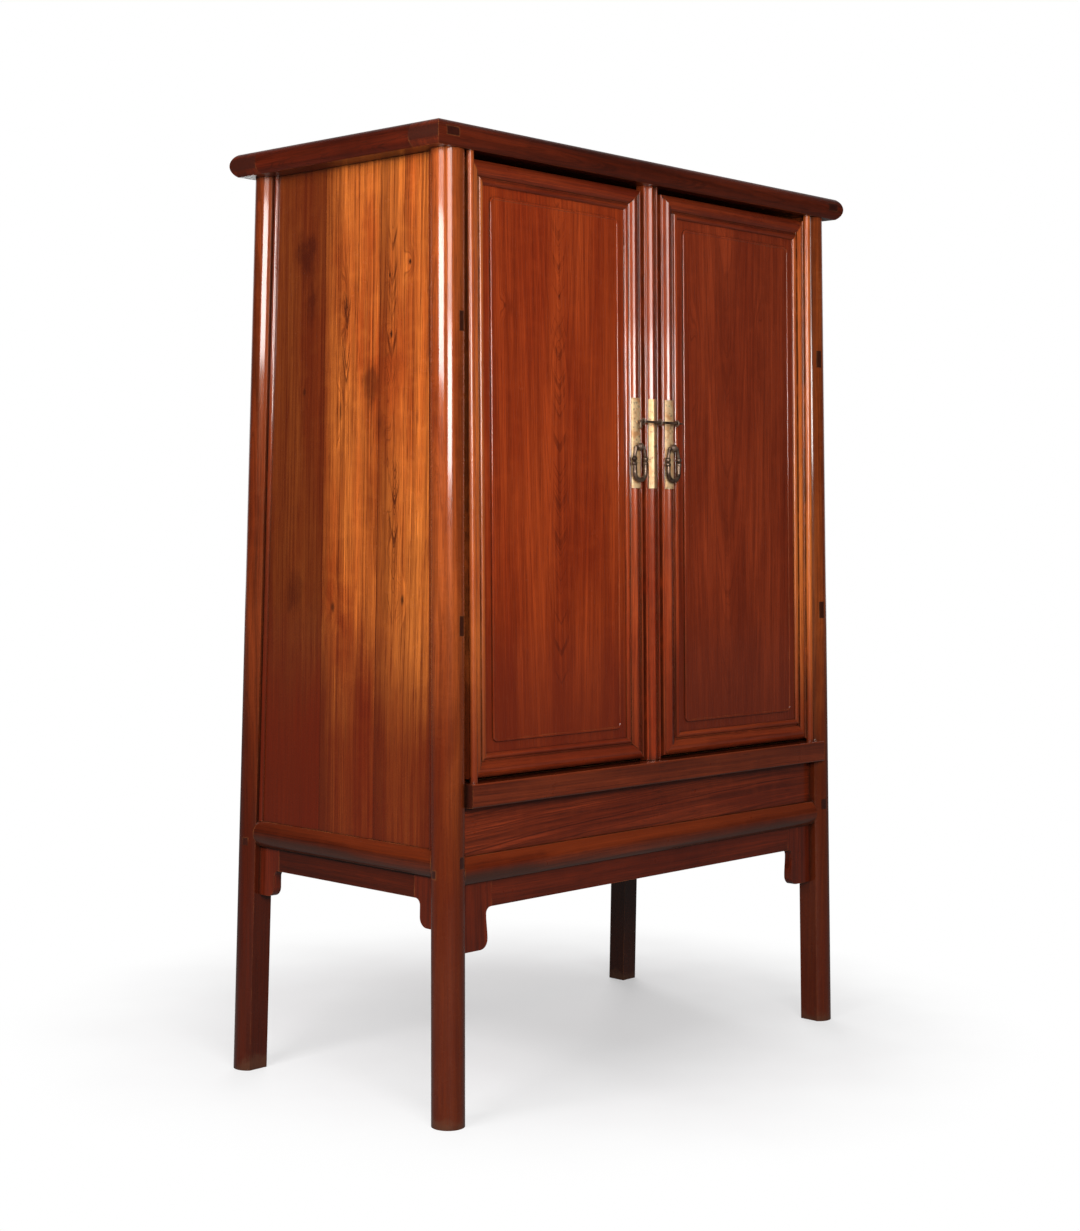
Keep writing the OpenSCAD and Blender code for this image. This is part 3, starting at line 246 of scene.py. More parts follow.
class Wood(Net):
    """The coats of one piece of wood: g runs along the grain, w across it and d into the piece."""

    def __init__(self, name, along, across, tones, seed, sway):
        super().__init__(name)
        self.light, self.mid, self.dark = tones
        self.seed = seed
        place = self.parts(self.place)
        self.g = place[along]
        self.w = place[across]
        self.d = place[3 - along - across]
        self.above = place[Z]
        # the grain wanders slowly along the piece, and a little more quickly too
        slow = self.drawn(seed, self.mul(self.w, 3.0), self.mul(self.g, 1.7), 2.0)
        self.quick = self.drawn(self.mul(self.w, 16.0), seed + 4.0, self.mul(self.g, 6.5), 2.0)
        self.wander = self.add(self.swing(slow, sway), self.swing(self.quick, sway * 0.16))
        self.fibre = self.even(330.0, 5.0, 3.0, 0.6)
        self.pores = self.rise(self.even(900.0, 26.0, 1.0), 0.60, 0.72)
        deep = self.add(self.mul(self.d, 9.0), seed)
        cloudy = self.drawn(self.mul(self.w, 9.0), deep, self.mul(self.g, 1.9), 4.0, 0.55, 0.4)
        self.cloudy = self.rise(cloudy, 0.30, 0.68)
        self.swayed = self.add(self.w, self.wander)
        self.streaks = self.streak_noise(150.0, 60.0, 1.3, 3.0, 0.6)
        self.stain = self.noise(self.place, 21.0, 4.0, 0.6)

    def drawn(self, x, y, z, detail, rough=0.5, distortion=0.0):
        """A noise of places that are already scaled."""
        return self.noise(self.vector(x, y, z), 1.0, detail, rough, distortion)

    def even(self, thin, long, detail, rough=0.5):
        """A noise that is the same across the grain and into the piece."""
        across = self.mul(self.w, thin)
        deep = self.mul(self.d, thin)
        return self.drawn(across, deep, self.mul(self.g, long), detail, rough)

    def streak_noise(self, thin, deep, long, detail, rough=0.5):
        """A noise that follows the sway of the grain."""
        along = self.add(self.mul(self.g, long), self.seed)
        return self.drawn(self.mul(self.swayed, thin), self.mul(self.d, deep), along, detail, rough)

    def knots(self, spots):
        """Dark eyes, and how far the grain parts round them."""
        eye = 0.0
        part = 0.0
        for at_w, at_g, radius, strength, stretch, push in spots:
            ragged = self.add(self.w, self.swing(self.quick, radius * 0.8))
            far_w = self.mul(self.sub(ragged, at_w), 1 / radius)
            far_g = self.mul(self.sub(self.g, at_g), 1 / (radius * stretch))
            far = self.span(far_w, far_g)
            eye = self.most(eye, self.mul(self.rise(far, 1.0, 0.2), strength))
            part = self.add(part, self.mul(self.rise(far, 4.5, 0.0), push))
        return eye, part

    def smudges(self, spots):
        """Soft darker clouds with ragged edges."""
        ragged = self.drawn(self.mul(self.w, 26.0), self.seed + 2.0, self.mul(self.g, 15.0), 4.0, 0.6)
        blot = 0.0
        for at_w, at_g, radius, strength in spots:
            far_w = self.mul(self.sub(self.w, at_w), 1 / radius)
            far_g = self.mul(self.sub(self.g, at_g), 0.55 / radius)
            far = self.add(self.span(far_w, far_g), self.swing(ragged, 3.2))
            blot = self.most(blot, self.mul(self.rise(far, 1.2, 0.1), strength))
        return blot

    def chains(self, rows):
        """Pointed dark lines, one over the other."""
        chain = 0.0
        for at_w, start, end, half, pitch, steep, strength in rows:
            off = self.add(self.sub(self.w, at_w), self.mul(self.wander, 0.3))
            far = self.math("SQRT", self.add(self.mul(off, off), CHAIN_TIP**2))
            step = self.line_noise(self.mul(self.sub(self.g, self.mul(far, steep)), 1 / pitch), 0.55, 2.0)
            mark = self.mul(self.near(step, 0.5, 0.030, 0.004), self.rise(far, half, half * 0.5))
            reach = (end - start) / 2
            mark = self.mul(mark, self.near(self.g, (start + end) / 2, reach, reach - CHAIN_FADE))
            chain = self.most(chain, self.mul(mark, strength))
        return chain

    def heart(self, pith, part):
        """Distance from the heart of the tree, which the lines of the grain follow."""
        from_w = self.add(self.sub(self.w, pith[0]), self.wander)
        from_g = self.mul(self.sub(self.g, pith[1]), pith[2])
        depth = self.add(self.mul(self.d, 0.35), from_g)
        return self.add(self.span(from_w, depth), part)

    def joined(self, boards, part):
        """The same for boards side by side, and the brightness of each."""
        heart = 0.0
        shade = 0.0
        for start, end, bright, pith in boards:
            after = self.math("GREATER_THAN", self.w, start)
            inside = self.mul(after, self.math("LESS_THAN", self.w, end))
            own = self.add(self.heart(pith, part), start * BOARD_SHIFT)
            heart = self.add(heart, self.mul(inside, own))
            shade = self.add(shade, self.mul(inside, bright))
        return heart, shade

    def lay_grain(self, heart, ring, line, streak, pore):
        """Clouds, streaks, fibres, year rings, ripple and pores. Returns the darkest rings."""
        count = self.add(self.mul(heart, 1 / ring), self.mul(self.even(40.0, 2.0, 3.0), 0.5))
        broad = self.line_noise(count, 0.42, 1.0)
        fine = self.line_noise(count, 1.9, 3.0)
        dark_line = self.mul(self.rise(fine, 0.56, 0.70), self.rise(broad, 0.35, 0.60))
        thin = self.streak_noise(260.0, 90.0, 2.6, 1.0)
        gold = self.drawn(self.mul(self.swayed, 55.0), self.seed + 6.0, self.mul(self.g, 2.4), 3.0, 0.6)
        ripple = self.drawn(self.mul(self.w, 26.0), self.seed + 9.0, self.mul(self.g, 34.0), 2.0)
        self.fill = self.blend(self.cloudy, self.mid, self.light)
        self.coat(self.mul(self.rise(gold, 0.52, 0.74), streak * 0.8), self.light)
        self.coat(self.mul(self.rise(self.streaks, 0.44, 0.68), streak), self.dark)
        self.coat(self.mul(self.near(thin, 0.5, 0.035), streak), self.dark)
        self.coat(self.mul(self.rise(self.fibre, 0.35, 0.70), 0.30), self.dark)
        self.coat(self.mul(self.rise(broad, 0.62, 0.38), 0.30), self.dark)
        self.coat(self.mul(dark_line, line), self.dark)
        self.coat(self.mul(self.near(fine, 0.5, 0.018), line * 0.9), self.dark)
        self.coat(self.mul(self.rise(ripple, 0.45, 0.75), 0.12), self.light)
        self.coat(self.mul(self.pores, pore), self.dark)
        return dark_line

    def lay_board_tones(self, shade):
        self.coat(self.sub(1.0, shade), self.dark)
        broad = self.drawn(self.mul(self.w, 4.0), self.seed + 3.0, self.mul(self.g, 2.2), 3.0, 0.6)
        self.coat(self.mul(self.rise(broad, 0.48, 0.68), 0.24), self.dark)

    def lay_low(self, colour, top, bottom):
        """Turns the piece to another colour towards the floor."""
        drop = self.add(self.above, self.swing(self.cloudy, 0.10))
        lowest = self.blend(self.fibre, colour, self.dark)
        self.coat(self.mul(self.rise(drop, top, bottom), 0.85), lowest)

    def lay_seams(self, boards):
        """A dark line where two boards meet, and a shade on one side of it."""
        for start, *_ in boards[1:]:
            seam = self.near(self.w, start, SEAM_HALF, SEAM_HALF / 5)
            before = self.math("LESS_THAN", self.w, start)
            beside = self.mul(before, self.rise(self.w, start - SEAM_SHADE, start))
            self.coat(self.most(self.mul(seam, 0.85), self.mul(beside, 0.62)), self.dark)

    def lay_rail_light_and_shade(self, amount):
        """A rail with painted light on its upper faces and a greyish painted shade on its lower ones."""
        turn = self.add(self.parts(self.normal("Normal"))[Z], self.swing(self.cloudy, 0.35))
        self.coat(self.mul(self.rise(turn, 0.10, 0.62), amount * 0.75), self.light)
        self.coat(self.mul(self.rise(turn, -0.02, -0.50), amount), RAIL_UNDERSIDE_SHADE)

    def lay_age(self, along, wear, feet):
        """Dark ends of the grain, rubbed edges, painted shade and dirt in the corners and scuffed feet.
        Returns the corner darkening.
        """
        end = self.rise(self.facing(along), 0.80, 0.95)
        self.coat(self.mul(end, 0.97), self.blend(self.fibre, END_GRAIN, DIRT_AND_SHADE))
        rubbed = self.mul(self.arris(EDGE_WIDTH), self.rise(self.stain, 0.36, 0.62))
        self.coat(self.mul(rubbed, wear), WORN)
        # painted shade: darker where occlusion finds a corner or recess, in stain-shaped patches that are
        # partly dirt
        corner = self.rise(self.hollow(CORNER_WIDTH), 0.92, 0.35)
        dark_in_hollows = self.mul(corner, self.rise(self.stain, 0.15, 0.55))
        self.coat(self.mul(dark_in_hollows, 0.8), DIRT_AND_SHADE)
        if feet:
            scuff = self.add(self.above, self.swing(self.stain, 0.09))
            self.coat(self.mul(self.rise(scuff, SCUFF_HEIGHT, 0.0), 0.45), GREY_WORN)
        return dark_in_hollows


def wood(name, along, across, tones, seed, pith=None, ring=0.0065, line=0.55, streak=0.35,
         sway=0.025, pore=0.45, knots=(), smudges=(), chains=(), boards=(), low=None, wear=0.5,
         feet=False, rail=0.0, ridge=None, dull=0.30, lacquer=1.0, coat_rough=LACQUER_ROUGH):
    """One piece of wood. along is the grain's axis and across the wide one.

    pith is where the heart of the tree lies: across, along, and how fast it leaves the board,
    so that a board cut near it shows nested pointed arches. knots are (across, along, radius,
    darkness, length in radii, how far the grain parts), smudges (across, along, radius, darkness)
    and boards (from across, to across, brightness, pith) for joined boards. chains are rows of
    dark pointed lines (across, from along, to along, half width, pitch, steepness, darkness).
    low (colour, from height, down to height) darkens the lower part. ridge (middle, half width,
    radius) is a round whose two halves catch the light apart. rail is how strong the painted light
    on a rail's top and the painted shade under it are. dull is the roughness of the wood under its
    lacquer.
    """
    net = Wood(name, along, across, tones, seed, sway)
    eye, part = net.knots(knots)
    if boards:
        heart, shade = net.joined(boards, part)
    else:
        heart = net.heart(pith, part)
    dark_line = net.lay_grain(heart, ring, line, streak, pore)
    if boards:
        net.lay_board_tones(shade)
    if low:
        net.lay_low(*low)
    if chains:
        chain = net.mul(net.chains(chains), net.rise(net.streaks, 0.30, 0.52))
        net.coat(chain, net.blend(0.5, net.dark, DIRT_AND_SHADE))
    if boards:
        net.lay_seams(boards)
    if knots:
        net.coat(eye, DIRT_AND_SHADE)
    if smudges:
        net.coat(net.smudges(smudges), net.blend(0.4, net.dark, DIRT_AND_SHADE))
    # painted light on the tops of rails and painted shade under them
    if rail:
        net.lay_rail_light_and_shade(rail)
    # the painted shade and dirt of the corners also roughens the surface
    dark_in_hollows = net.lay_age(along, wear, feet)
    rough = net.add(dull, net.add(net.mul(net.pores, 0.18), net.swing(net.stain, 0.16)))
    height = net.sub(net.mul(net.fibre, 0.35), net.add(net.mul(net.pores, 0.8), net.mul(dark_line, 0.35)))
    under = net.ridge(net.w, *ridge) if ridge else None
    uneven = net.noise(net.vector(net.w, net.d, net.mul(net.g, 0.35)), 22.0, 2.0)
    waves = net.bump(uneven, 0.30, 0.0012, under)
    net.surface(
        Base_Color=net.fill,
        Roughness=net.add(rough, net.mul(dark_in_hollows, 0.35)),
        Specular_IOR_Level=0.22,
        Specular_Tint=WARM_SHEEN,
        Coat_Weight=lacquer,
        Coat_Roughness=coat_rough,
        Coat_IOR=LACQUER_IOR,
        Normal=net.bump(height, 0.32, 0.0004, waves),
        Coat_Normal=waves,
    )
    return net.material


# light, middle and dark tone of each kind of piece
POST = (tone(190, 94, 40), tone(145, 56, 21), tone(73, 24, 9))
# the post tones darkened, as painted shade on the two rear posts
POST_REAR_SHADED = (tone(134, 56, 22), tone(98, 32, 11), tone(44, 13, 5))
CAP = (tone(118, 42, 19), tone(84, 26, 11), tone(36, 11, 6))
CAP_SIDE = (tone(98, 28, 9), tone(70, 16, 5), tone(28, 7, 3))
DOOR = (tone(198, 80, 32), tone(160, 54, 20), tone(96, 27, 11))
DOOR_RIGHT = (tone(178, 71, 35), tone(144, 52, 25), tone(88, 27, 14))
FRAME = (tone(165, 66, 30), tone(130, 42, 19), tone(70, 20, 10))
STILE = (tone(196, 82, 36), tone(156, 52, 22), tone(84, 25, 12))
HINGE_STILE = (tone(250, 136, 60), tone(208, 94, 40), tone(116, 42, 18))
SIDE = (tone(240, 135, 56), tone(190, 83, 29), tone(78, 23, 8))
RAIL = (tone(140, 55, 22), tone(106, 34, 12), tone(54, 16, 8))
RAIL_SIDE = (tone(112, 41, 14), tone(84, 26, 8), tone(42, 12, 5))
APRON_SIDE = (tone(88, 27, 8), tone(66, 18, 6), tone(32, 8, 4))
LOW_PANEL = (tone(160, 62, 29), tone(126, 42, 18), tone(50, 14, 7))
SILL = (tone(144, 60, 30), tone(108, 40, 20), tone(46, 15, 9))
APRON = (tone(132, 45, 18), tone(102, 30, 12), tone(46, 13, 7))
INSIDE = (tone(186, 132, 84), tone(158, 104, 62), tone(104, 62, 34))
BACK = (tone(142, 76, 42), tone(112, 54, 28), tone(62, 26, 13))
LOW_DARK = tone(112, 28, 6)
LOW_POST = tone(90, 23, 5)
# near black, as painted shade on the lower part of the rear right leg
REAR_LEG_SHADE = tone(38, 14, 7)
LOW_DOOR = tone(118, 38, 16)
LOW_RIGHT = tone(122, 45, 22)
STRAIGHT = (0.9, 0.0, 0.0)

# front board of a side, middle board and the dark one at the back
SIDE_BOARDS = (
    (-0.30, -0.081, 1.0, (-0.52, 2.4, 0.010)),
    (-0.081, 0.069, 0.95, (-0.42, 1.9, 0.008)),
    (0.069, 0.30, 0.16, (0.60, 1.9, 0.006)),
)
SIDE_CHAINS = (
    (-0.112, 1.27, 1.62, 0.017, 0.034, 3.2, 0.75),
    (-0.125, 0.86, 1.21, 0.020, 0.030, 3.6, 0.85),
    (0.008, 1.24, 1.50, 0.016, 0.060, 5.0, 0.75),
)
SIDE_KNOTS = (
    (-0.159, 1.520, 0.0050, 0.9, 1.6, 0.020),
    (-0.112, 1.395, 0.0050, 0.9, 2.0, 0.024),
    (-0.105, 1.500, 0.0035, 0.8, 2.0, 0.014),
    (-0.112, 1.290, 0.0060, 0.0, 5.0, 0.022),
    (-0.125, 1.130, 0.0060, 0.0, 7.0, 0.020),
    (-0.150, 0.921, 0.0060, 0.8, 2.2, 0.020),
    (0.010, 1.455, 0.0045, 0.6, 6.0, 0.016),
    (0.022, 1.260, 0.0040, 0.6, 6.0, 0.014),
    (0.038, 0.902, 0.0070, 0.7, 2.0, 0.018),
    (0.125, 1.30, 0.0060, 0.5, 1.8, 0.014),
)
SIDE_SMUDGES = (
    (0.125, 1.545, 0.030, 0.85),
    (0.105, 1.475, 0.022, 0.7),
    (-0.060, 1.310, 0.022, 0.6),
    (-0.085, 1.240, 0.016, 0.5),
    (0.150, 0.930, 0.024, 0.5),
)
# dark patches on the outer edge of the cap's left side, near its two ends
CAP_SMUDGES = (
    (-0.588, -0.235, 0.022, 0.9),
    (-0.588, 0.262, 0.024, 0.9),
)
REAR_BOARDS = (
    (-0.6, -0.317, 0.9, (-0.42, 1.9, 0.05)),
    (-0.317, -0.106, 1.0, (-0.20, 0.1, 0.06)),
    (-0.106, 0.106, 0.8, (0.02, 2.1, 0.06)),
    (0.106, 0.317, 0.95, (0.25, 0.3, 0.05)),
    (0.317, 0.6, 0.85, (0.40, 1.8, 0.07)),
)
REAR_KNOTS = (
    (-0.22, 1.31, 0.010, 0.7, 2.0, 0.02),
    (0.30, 0.88, 0.009, 0.7, 2.0, 0.02),
)
# two small knots on the left door, and places up its middle where the grain only parts
LEFT_DOOR_KNOTS = (
    (-0.405, 1.448, 0.004, 0.45, 2.0, 0.010),
    (-0.262, 1.475, 0.0035, 0.5, 2.4, 0.012),
    (-0.262, 1.600, 0.0060, 0.0, 7.0, 0.024),
    (-0.264, 1.260, 0.0065, 0.0, 8.0, 0.026),
    (-0.268, 1.020, 0.0060, 0.0, 9.0, 0.022),
    (-0.266, 0.800, 0.0050, 0.0, 9.0, 0.016),
)
LEFT_DOOR_CHAINS = ((-0.264, 0.72, 1.68, 0.022, 0.030, 1.5, 0.45),)
LEFT_DOOR_SMUDGES = ((-0.390, 1.440, 0.012, 0.30),)
RIGHT_DOOR_KNOTS = (
    (0.140, 1.380, 0.0060, 0.0, 7.0, 0.018),
    (0.333, 1.400, 0.0060, 0.0, 7.0, 0.018),
)
# middle, half width and radius of the rounds beside the doors' meeting line
LEFT_STILE_ROUND = (-0.0515, 0.0110, 0.0205)
RIGHT_STILE_ROUND = (0.050, 0.0135, 0.0205)
CENTRE_ROUND = (0.0, 0.0130, 0.0182)


def each(names, make):
    """Gives every named node its own material, made by make(name, index)."""
    for index, name in enumerate(names):
        material = make(name, index)
        for slot in NODES[name].material_slots:
            slot.material = material


def paint_posts():
    # the rear posts take darker tones and the rear right leg a near black foot, as painted shade
    each(
        ("post_front_left", "post_front_right", "post_rear_left", "post_rear_right"),
        lambda n, i: wood(
            n, Z, X, POST if i < 2 else POST_REAR_SHADED, 3.1 + i * 7.7, pith=(0.9 - i * 0.05, 0.4, 0.012),
            ring=0.010, line=0.42, low=(LOW_POST, 1.05, 0.42) if i < 3 else (REAR_LEG_SHADE, 0.70, 0.45),
            feet=True, wear=0.35, dull=0.27,
        ),
    )


def paint_cap():
    each(
        ("cap_front_member", "cap_rear_member"),
        lambda n, i: wood(
            n, X, Y, CAP, 11.3 + i, pith=(-0.9, 0.3, 0.03), ring=0.012, line=0.4, wear=0.6,
            lacquer=0.45, coat_rough=0.24, dull=0.40,
        ),
    )
    each(
        ("cap_left_member", "cap_right_member"),
        lambda n, i: wood(
            n, Y, X, CAP_SIDE, 15.1 + i, pith=(-0.9, 0.1, 0.05), ring=0.010, line=0.5, wear=0.6,
            smudges=CAP_SMUDGES, lacquer=0.45, coat_rough=0.24, dull=0.40,
        ),
    )
    each(
        ("cap_boards",),
        lambda n, i: wood(
            n, X, Y, BACK, 17.0, pith=(-0.03, 0.9, 0.06), ring=0.009, line=0.6, dull=0.55,
            lacquer=0.12, coat_rough=0.35,
        ),
    )


def paint_sides():
    each(
        ("side_boards_left", "side_boards_right"),
        lambda n, i: wood(
            n, Z, Y, SIDE, 21.0 + 5 * i, ring=0.0062, line=0.55, streak=0.62, sway=0.020,
            boards=SIDE_BOARDS, knots=SIDE_KNOTS, smudges=SIDE_SMUDGES, chains=SIDE_CHAINS,
            low=(LOW_DARK, 0.98, 0.66), wear=0.3, dull=0.26,
        ),
    )
    each(
        ("side_beads_left", "side_beads_right"),
        lambda n, i: wood(
            n, Z, Y, RAIL, 27.0 + i, pith=STRAIGHT, line=0.3, low=(LOW_DARK, 0.95, 0.62), wear=0.4,
        ),
    )
    each(
        ("lower_side_rail_left", "lower_side_rail_right", "side_apron_left", "side_apron_right"),
        lambda n, i: wood(
            n, Y, Z, RAIL_SIDE if i < 2 else APRON_SIDE, 81.0 + i, pith=(1.3, 0.3, 0.03),
            ring=0.009, line=0.45, rail=0.55 if i < 2 else 0.0,
        ),
    )
    each(
        ("side_spandrels_left", "side_spandrels_right"),
        lambda n, i: wood(n, Z, Y, APRON, 86.0 + i, pith=(1.3, 0.3, 0.03), ring=0.009, line=0.4),
    )


def paint_doors():
    each(
        ("left_door_panel",),
        lambda n, i: wood(
            n, Z, X, DOOR, 41.0, pith=(-0.264, 2.3, 0.020), ring=0.0052, line=0.45, wear=0.45,
            sway=0.012, streak=0.34, low=(LOW_DOOR, 1.05, 0.60), dull=0.24, pore=0.25,
            knots=LEFT_DOOR_KNOTS, smudges=LEFT_DOOR_SMUDGES, chains=LEFT_DOOR_CHAINS,
        ),
    )
    each(
        ("right_door_panel",),
        lambda n, i: wood(
            n, Z, X, DOOR_RIGHT, 47.0, pith=(0.235, 2.2, 0.030), ring=0.0058, line=0.40, wear=0.45,
            sway=0.016, streak=0.32, low=(LOW_RIGHT, 1.05, 0.60), dull=0.24, pore=0.25,
            knots=RIGHT_DOOR_KNOTS,
        ),
    )
    each(
        ("left_hinge_stile", "left_inner_stile", "right_inner_stile", "right_hinge_stile"),
        lambda n, i: wood(
            n, Z, X, HINGE_STILE if i in (0, 3) else STILE, 51.0 + 3 * i, pith=(1.2, 0.5, 0.02),
            ring=0.010, line=0.35, wear=0.5, low=(LOW_DOOR, 0.95, 0.60), dull=0.25,
            ridge=(None, LEFT_STILE_ROUND, RIGHT_STILE_ROUND, None)[i],
            coat_rough=0.21 if i in (0, 3) else LACQUER_ROUGH,
        ),
    )
    each(
        ("left_door_rails", "right_door_rails"),
        lambda n, i: wood(
            n, X, Z, FRAME, 61.0 + 3 * i, pith=(2.4, 0.5, 0.02), ring=0.010, line=0.4, wear=0.5,
        ),
    )
    each(
        ("centre_post",),
        lambda n, i: wood(
            n, Z, X, STILE, 66.0, pith=(1.2, 0.5, 0.02), ring=0.010, line=0.3, wear=0.5, dull=0.25,
            ridge=CENTRE_ROUND,
        ),
    )


def paint_low_front():
    each(
        ("sill_rail",),
        lambda n, i: wood(
            n, X, Z, SILL, 71.0, pith=(1.3, 0.3, 0.02), ring=0.009, line=0.5, wear=0.8, rail=0.6,
        ),
    )
    each(
        ("compartment_panel",),
        lambda n, i: wood(
            n, X, Z, LOW_PANEL, 73.0, pith=(0.38, 0.35, 0.055), ring=0.0062, line=0.85, wear=0.3,
        ),
    )
    each(
        ("lower_front_rail", "lower_rear_rail"),
        lambda n, i: wood(
            n, X, Z, RAIL, 75.0 + i, pith=(1.3, 0.3, 0.02), ring=0.009, line=0.45, wear=0.6,
            rail=0.75,
        ),
    )
    each(
        ("front_apron", "front_spandrels"),
        lambda n, i: wood(
            n, (X, Z)[i], (Z, X)[i], APRON, 78.0 + i, pith=(1.3, 0.3, 0.03), ring=0.009, line=0.4,
        ),
    )


def paint_back():
    each(
        ("rear_boards",),
        lambda n, i: wood(
            n, Z, X, BACK, 31.0, ring=0.008, line=0.6, dull=0.5, wear=0.25, boards=REAR_BOARDS,
            knots=REAR_KNOTS,
        ),
    )
    each(
        ("rear_low_board", "rear_apron", "rear_sill_rail", "middle_rear_rail"),
        lambda n, i: wood(
            n, X, Z, BACK, 33.0 + i, pith=(1.3, 0.2, 0.05), ring=0.008, line=0.5, dull=0.48,
        ),
    )


def paint_inside():
    """The pieces inside have no lacquer."""
    each(
        ("cap_battens", "floor_bearers", "lid_bearers", "left_door_battens", "right_door_battens"),
        lambda n, i: wood(
            n, X if i else Y, Y if i else X, INSIDE, 18.0 + i, pith=STRAIGHT, ring=0.008,
            dull=0.55, wear=0.2, lacquer=0.0,
        ),
    )
    each(
        (
            "middle_stretcher_left", "middle_stretcher_right",
            "upper_stretcher_left", "upper_stretcher_right",
        ),
        lambda n, i: wood(
            n, Y, Z, INSIDE, 91.0 + i, pith=(1.9, 0.3, 0.03), ring=0.009, dull=0.5, wear=0.3,
            lacquer=0.0,
        ),
    )
    each(
        ("shelf_middle", "shelf_upper", "compartment_floor", "lid_left", "lid_right"),
        lambda n, i: wood(
            n, X, Y, INSIDE, 95.0 + i, pith=(0.02 + 0.01 * i, 0.7, 0.06), ring=0.008, dull=0.5,
            wear=0.35, lacquer=0.0,
        ),
    )


# Metal
BRONZE = tone(138, 114, 96)
BRONZE_DARK = tone(68, 50, 40)
BRONZE_STAIN = tone(24, 16, 13)
BRASS = tone(255, 216, 164)
BRASS_SOFT = tone(214, 180, 132)
BRASS_OLD = tone(226, 162, 106)
BRASS_STAIN = tone(78, 48, 30)
# the front's lean for each metre up, and where plates and eyes would be at the height of the floor
FRONT_LEAN = 0.02195
PLATE_FACE = -0.2972
EYE_FACE = -0.2982
PLATE_MIDDLES = (-0.05, 0.0, 0.05)
PLATE_HALF = 0.0140
PLATE_ROUND = 0.020
METAL_EDGE = 0.0012
METAL_CORNER = 0.006


def brass(name, seed, tones, much, rough, metal, middle=None):
    """Old brass or bronze: pale where it is rubbed, brown where it has tarnished, with small spots.

    tones are the rubbed, the tarnished and the stained one, and much is how strong the spots are.
    middle is the middle line of a bent plate, whose eye and knob are as dark as the pulls.
    """
    bright, old, stain = tones
    net = Net(name)
    place = net.parts(net.place)
    under = net.ridge(place[X], middle, PLATE_HALF, PLATE_ROUND) if middle == 0 else None
    cloudy = net.noise(net.vector(place[X], seed, place[Z]), 62.0, 5.0, 0.62)
    speck = net.noise(net.place, 420.0, 3.0, 0.6)
    spot = net.noise(net.place, 150.0, 3.0, 0.55)
    net.fill = net.blend(net.rise(cloudy, 0.42, 0.66), bright, old)
    net.coat(net.mul(net.rise(speck, 0.55, 0.72), 0.5), old)
    dark = net.mul(net.rise(spot, 0.56, 0.68), much)
    net.coat(dark, stain)
    net.coat(net.mul(net.arris(METAL_EDGE), 0.45), bright)
    if middle is not None:
        out = net.sub(place[Y], net.mul(place[Z], FRONT_LEAN))
        net.coat(net.rise(out, PLATE_FACE, EYE_FACE), net.blend(cloudy, BRONZE, BRONZE_DARK))
    dark_in_hollows = net.rise(net.hollow(METAL_CORNER), 0.85, 0.30)
    net.coat(net.mul(dark_in_hollows, 0.85), stain)
    height = net.sub(net.mul(cloudy, 0.5), net.add(net.mul(dark, 0.6), net.mul(speck, 0.15)))
    net.surface(
        Base_Color=net.fill,
        Metallic=net.sub(metal, net.mul(dark, 0.25)),
        Roughness=net.add(rough, net.add(net.mul(dark, 0.22), net.swing(speck, 0.25))),
        Normal=net.bump(height, 0.5, 0.0004, under),
    )
    return net.material


def paint_metal():
    each(
        ("lock_plate_left", "lock_plate_centre", "lock_plate_right"),
        lambda n, i: brass(
            n, 1.0 + i * 3.0, (BRASS_SOFT if i == 1 else BRASS, BRASS_OLD, BRASS_STAIN), 0.60,
            0.41, 0.42, PLATE_MIDDLES[i],
        ),
    )
    each(
        ("pull_left", "pull_right", "lock_pin"),
        lambda n, i: brass(n, 12.0 + i * 3.0, (BRONZE, BRONZE_DARK, BRONZE_STAIN), 0.8, 0.33, 0.75),
    )


# Floor and world
FLOOR_RADIUS = 30
FLOOR_SIDES = 96
FLOOR_DIM = tone(104, 100, 98)
PAPER = tone(233, 230, 231)
PAPER_LIGHT = tone(238, 237, 238)
SHADE_X = 0.10
SHADE_Y = 0.18
SHADE_NEAR = 0.40
SHADE_FAR = 1.22
SHADE_LIFT = 0.34
FLOOR_GLOW = 0.03
PAPER_BEHIND = (0.73, 0.68, 0.0)
PAPER_EDGE = 0.55
PAPER_FULL = 0.95
ROOM_GLOW = 0.02
FILL = 0.26


def larger(tree, a, b):
    node = tree.nodes.new("ShaderNodeMath")
    node.operation = "MAXIMUM"
    tree.links.new(a, node.inputs[0])
    tree.links.new(b, node.inputs[1])
    return node.outputs[0]


def ray_kinds(tree):
    """Camera rays, and the rays that metal, lacquer or glass send on."""
    path = tree.nodes.new("ShaderNodeLightPath").outputs
    return path["Is Camera Ray"], larger(tree, path["Is Glossy Ray"], path["Is Transmission Ray"])


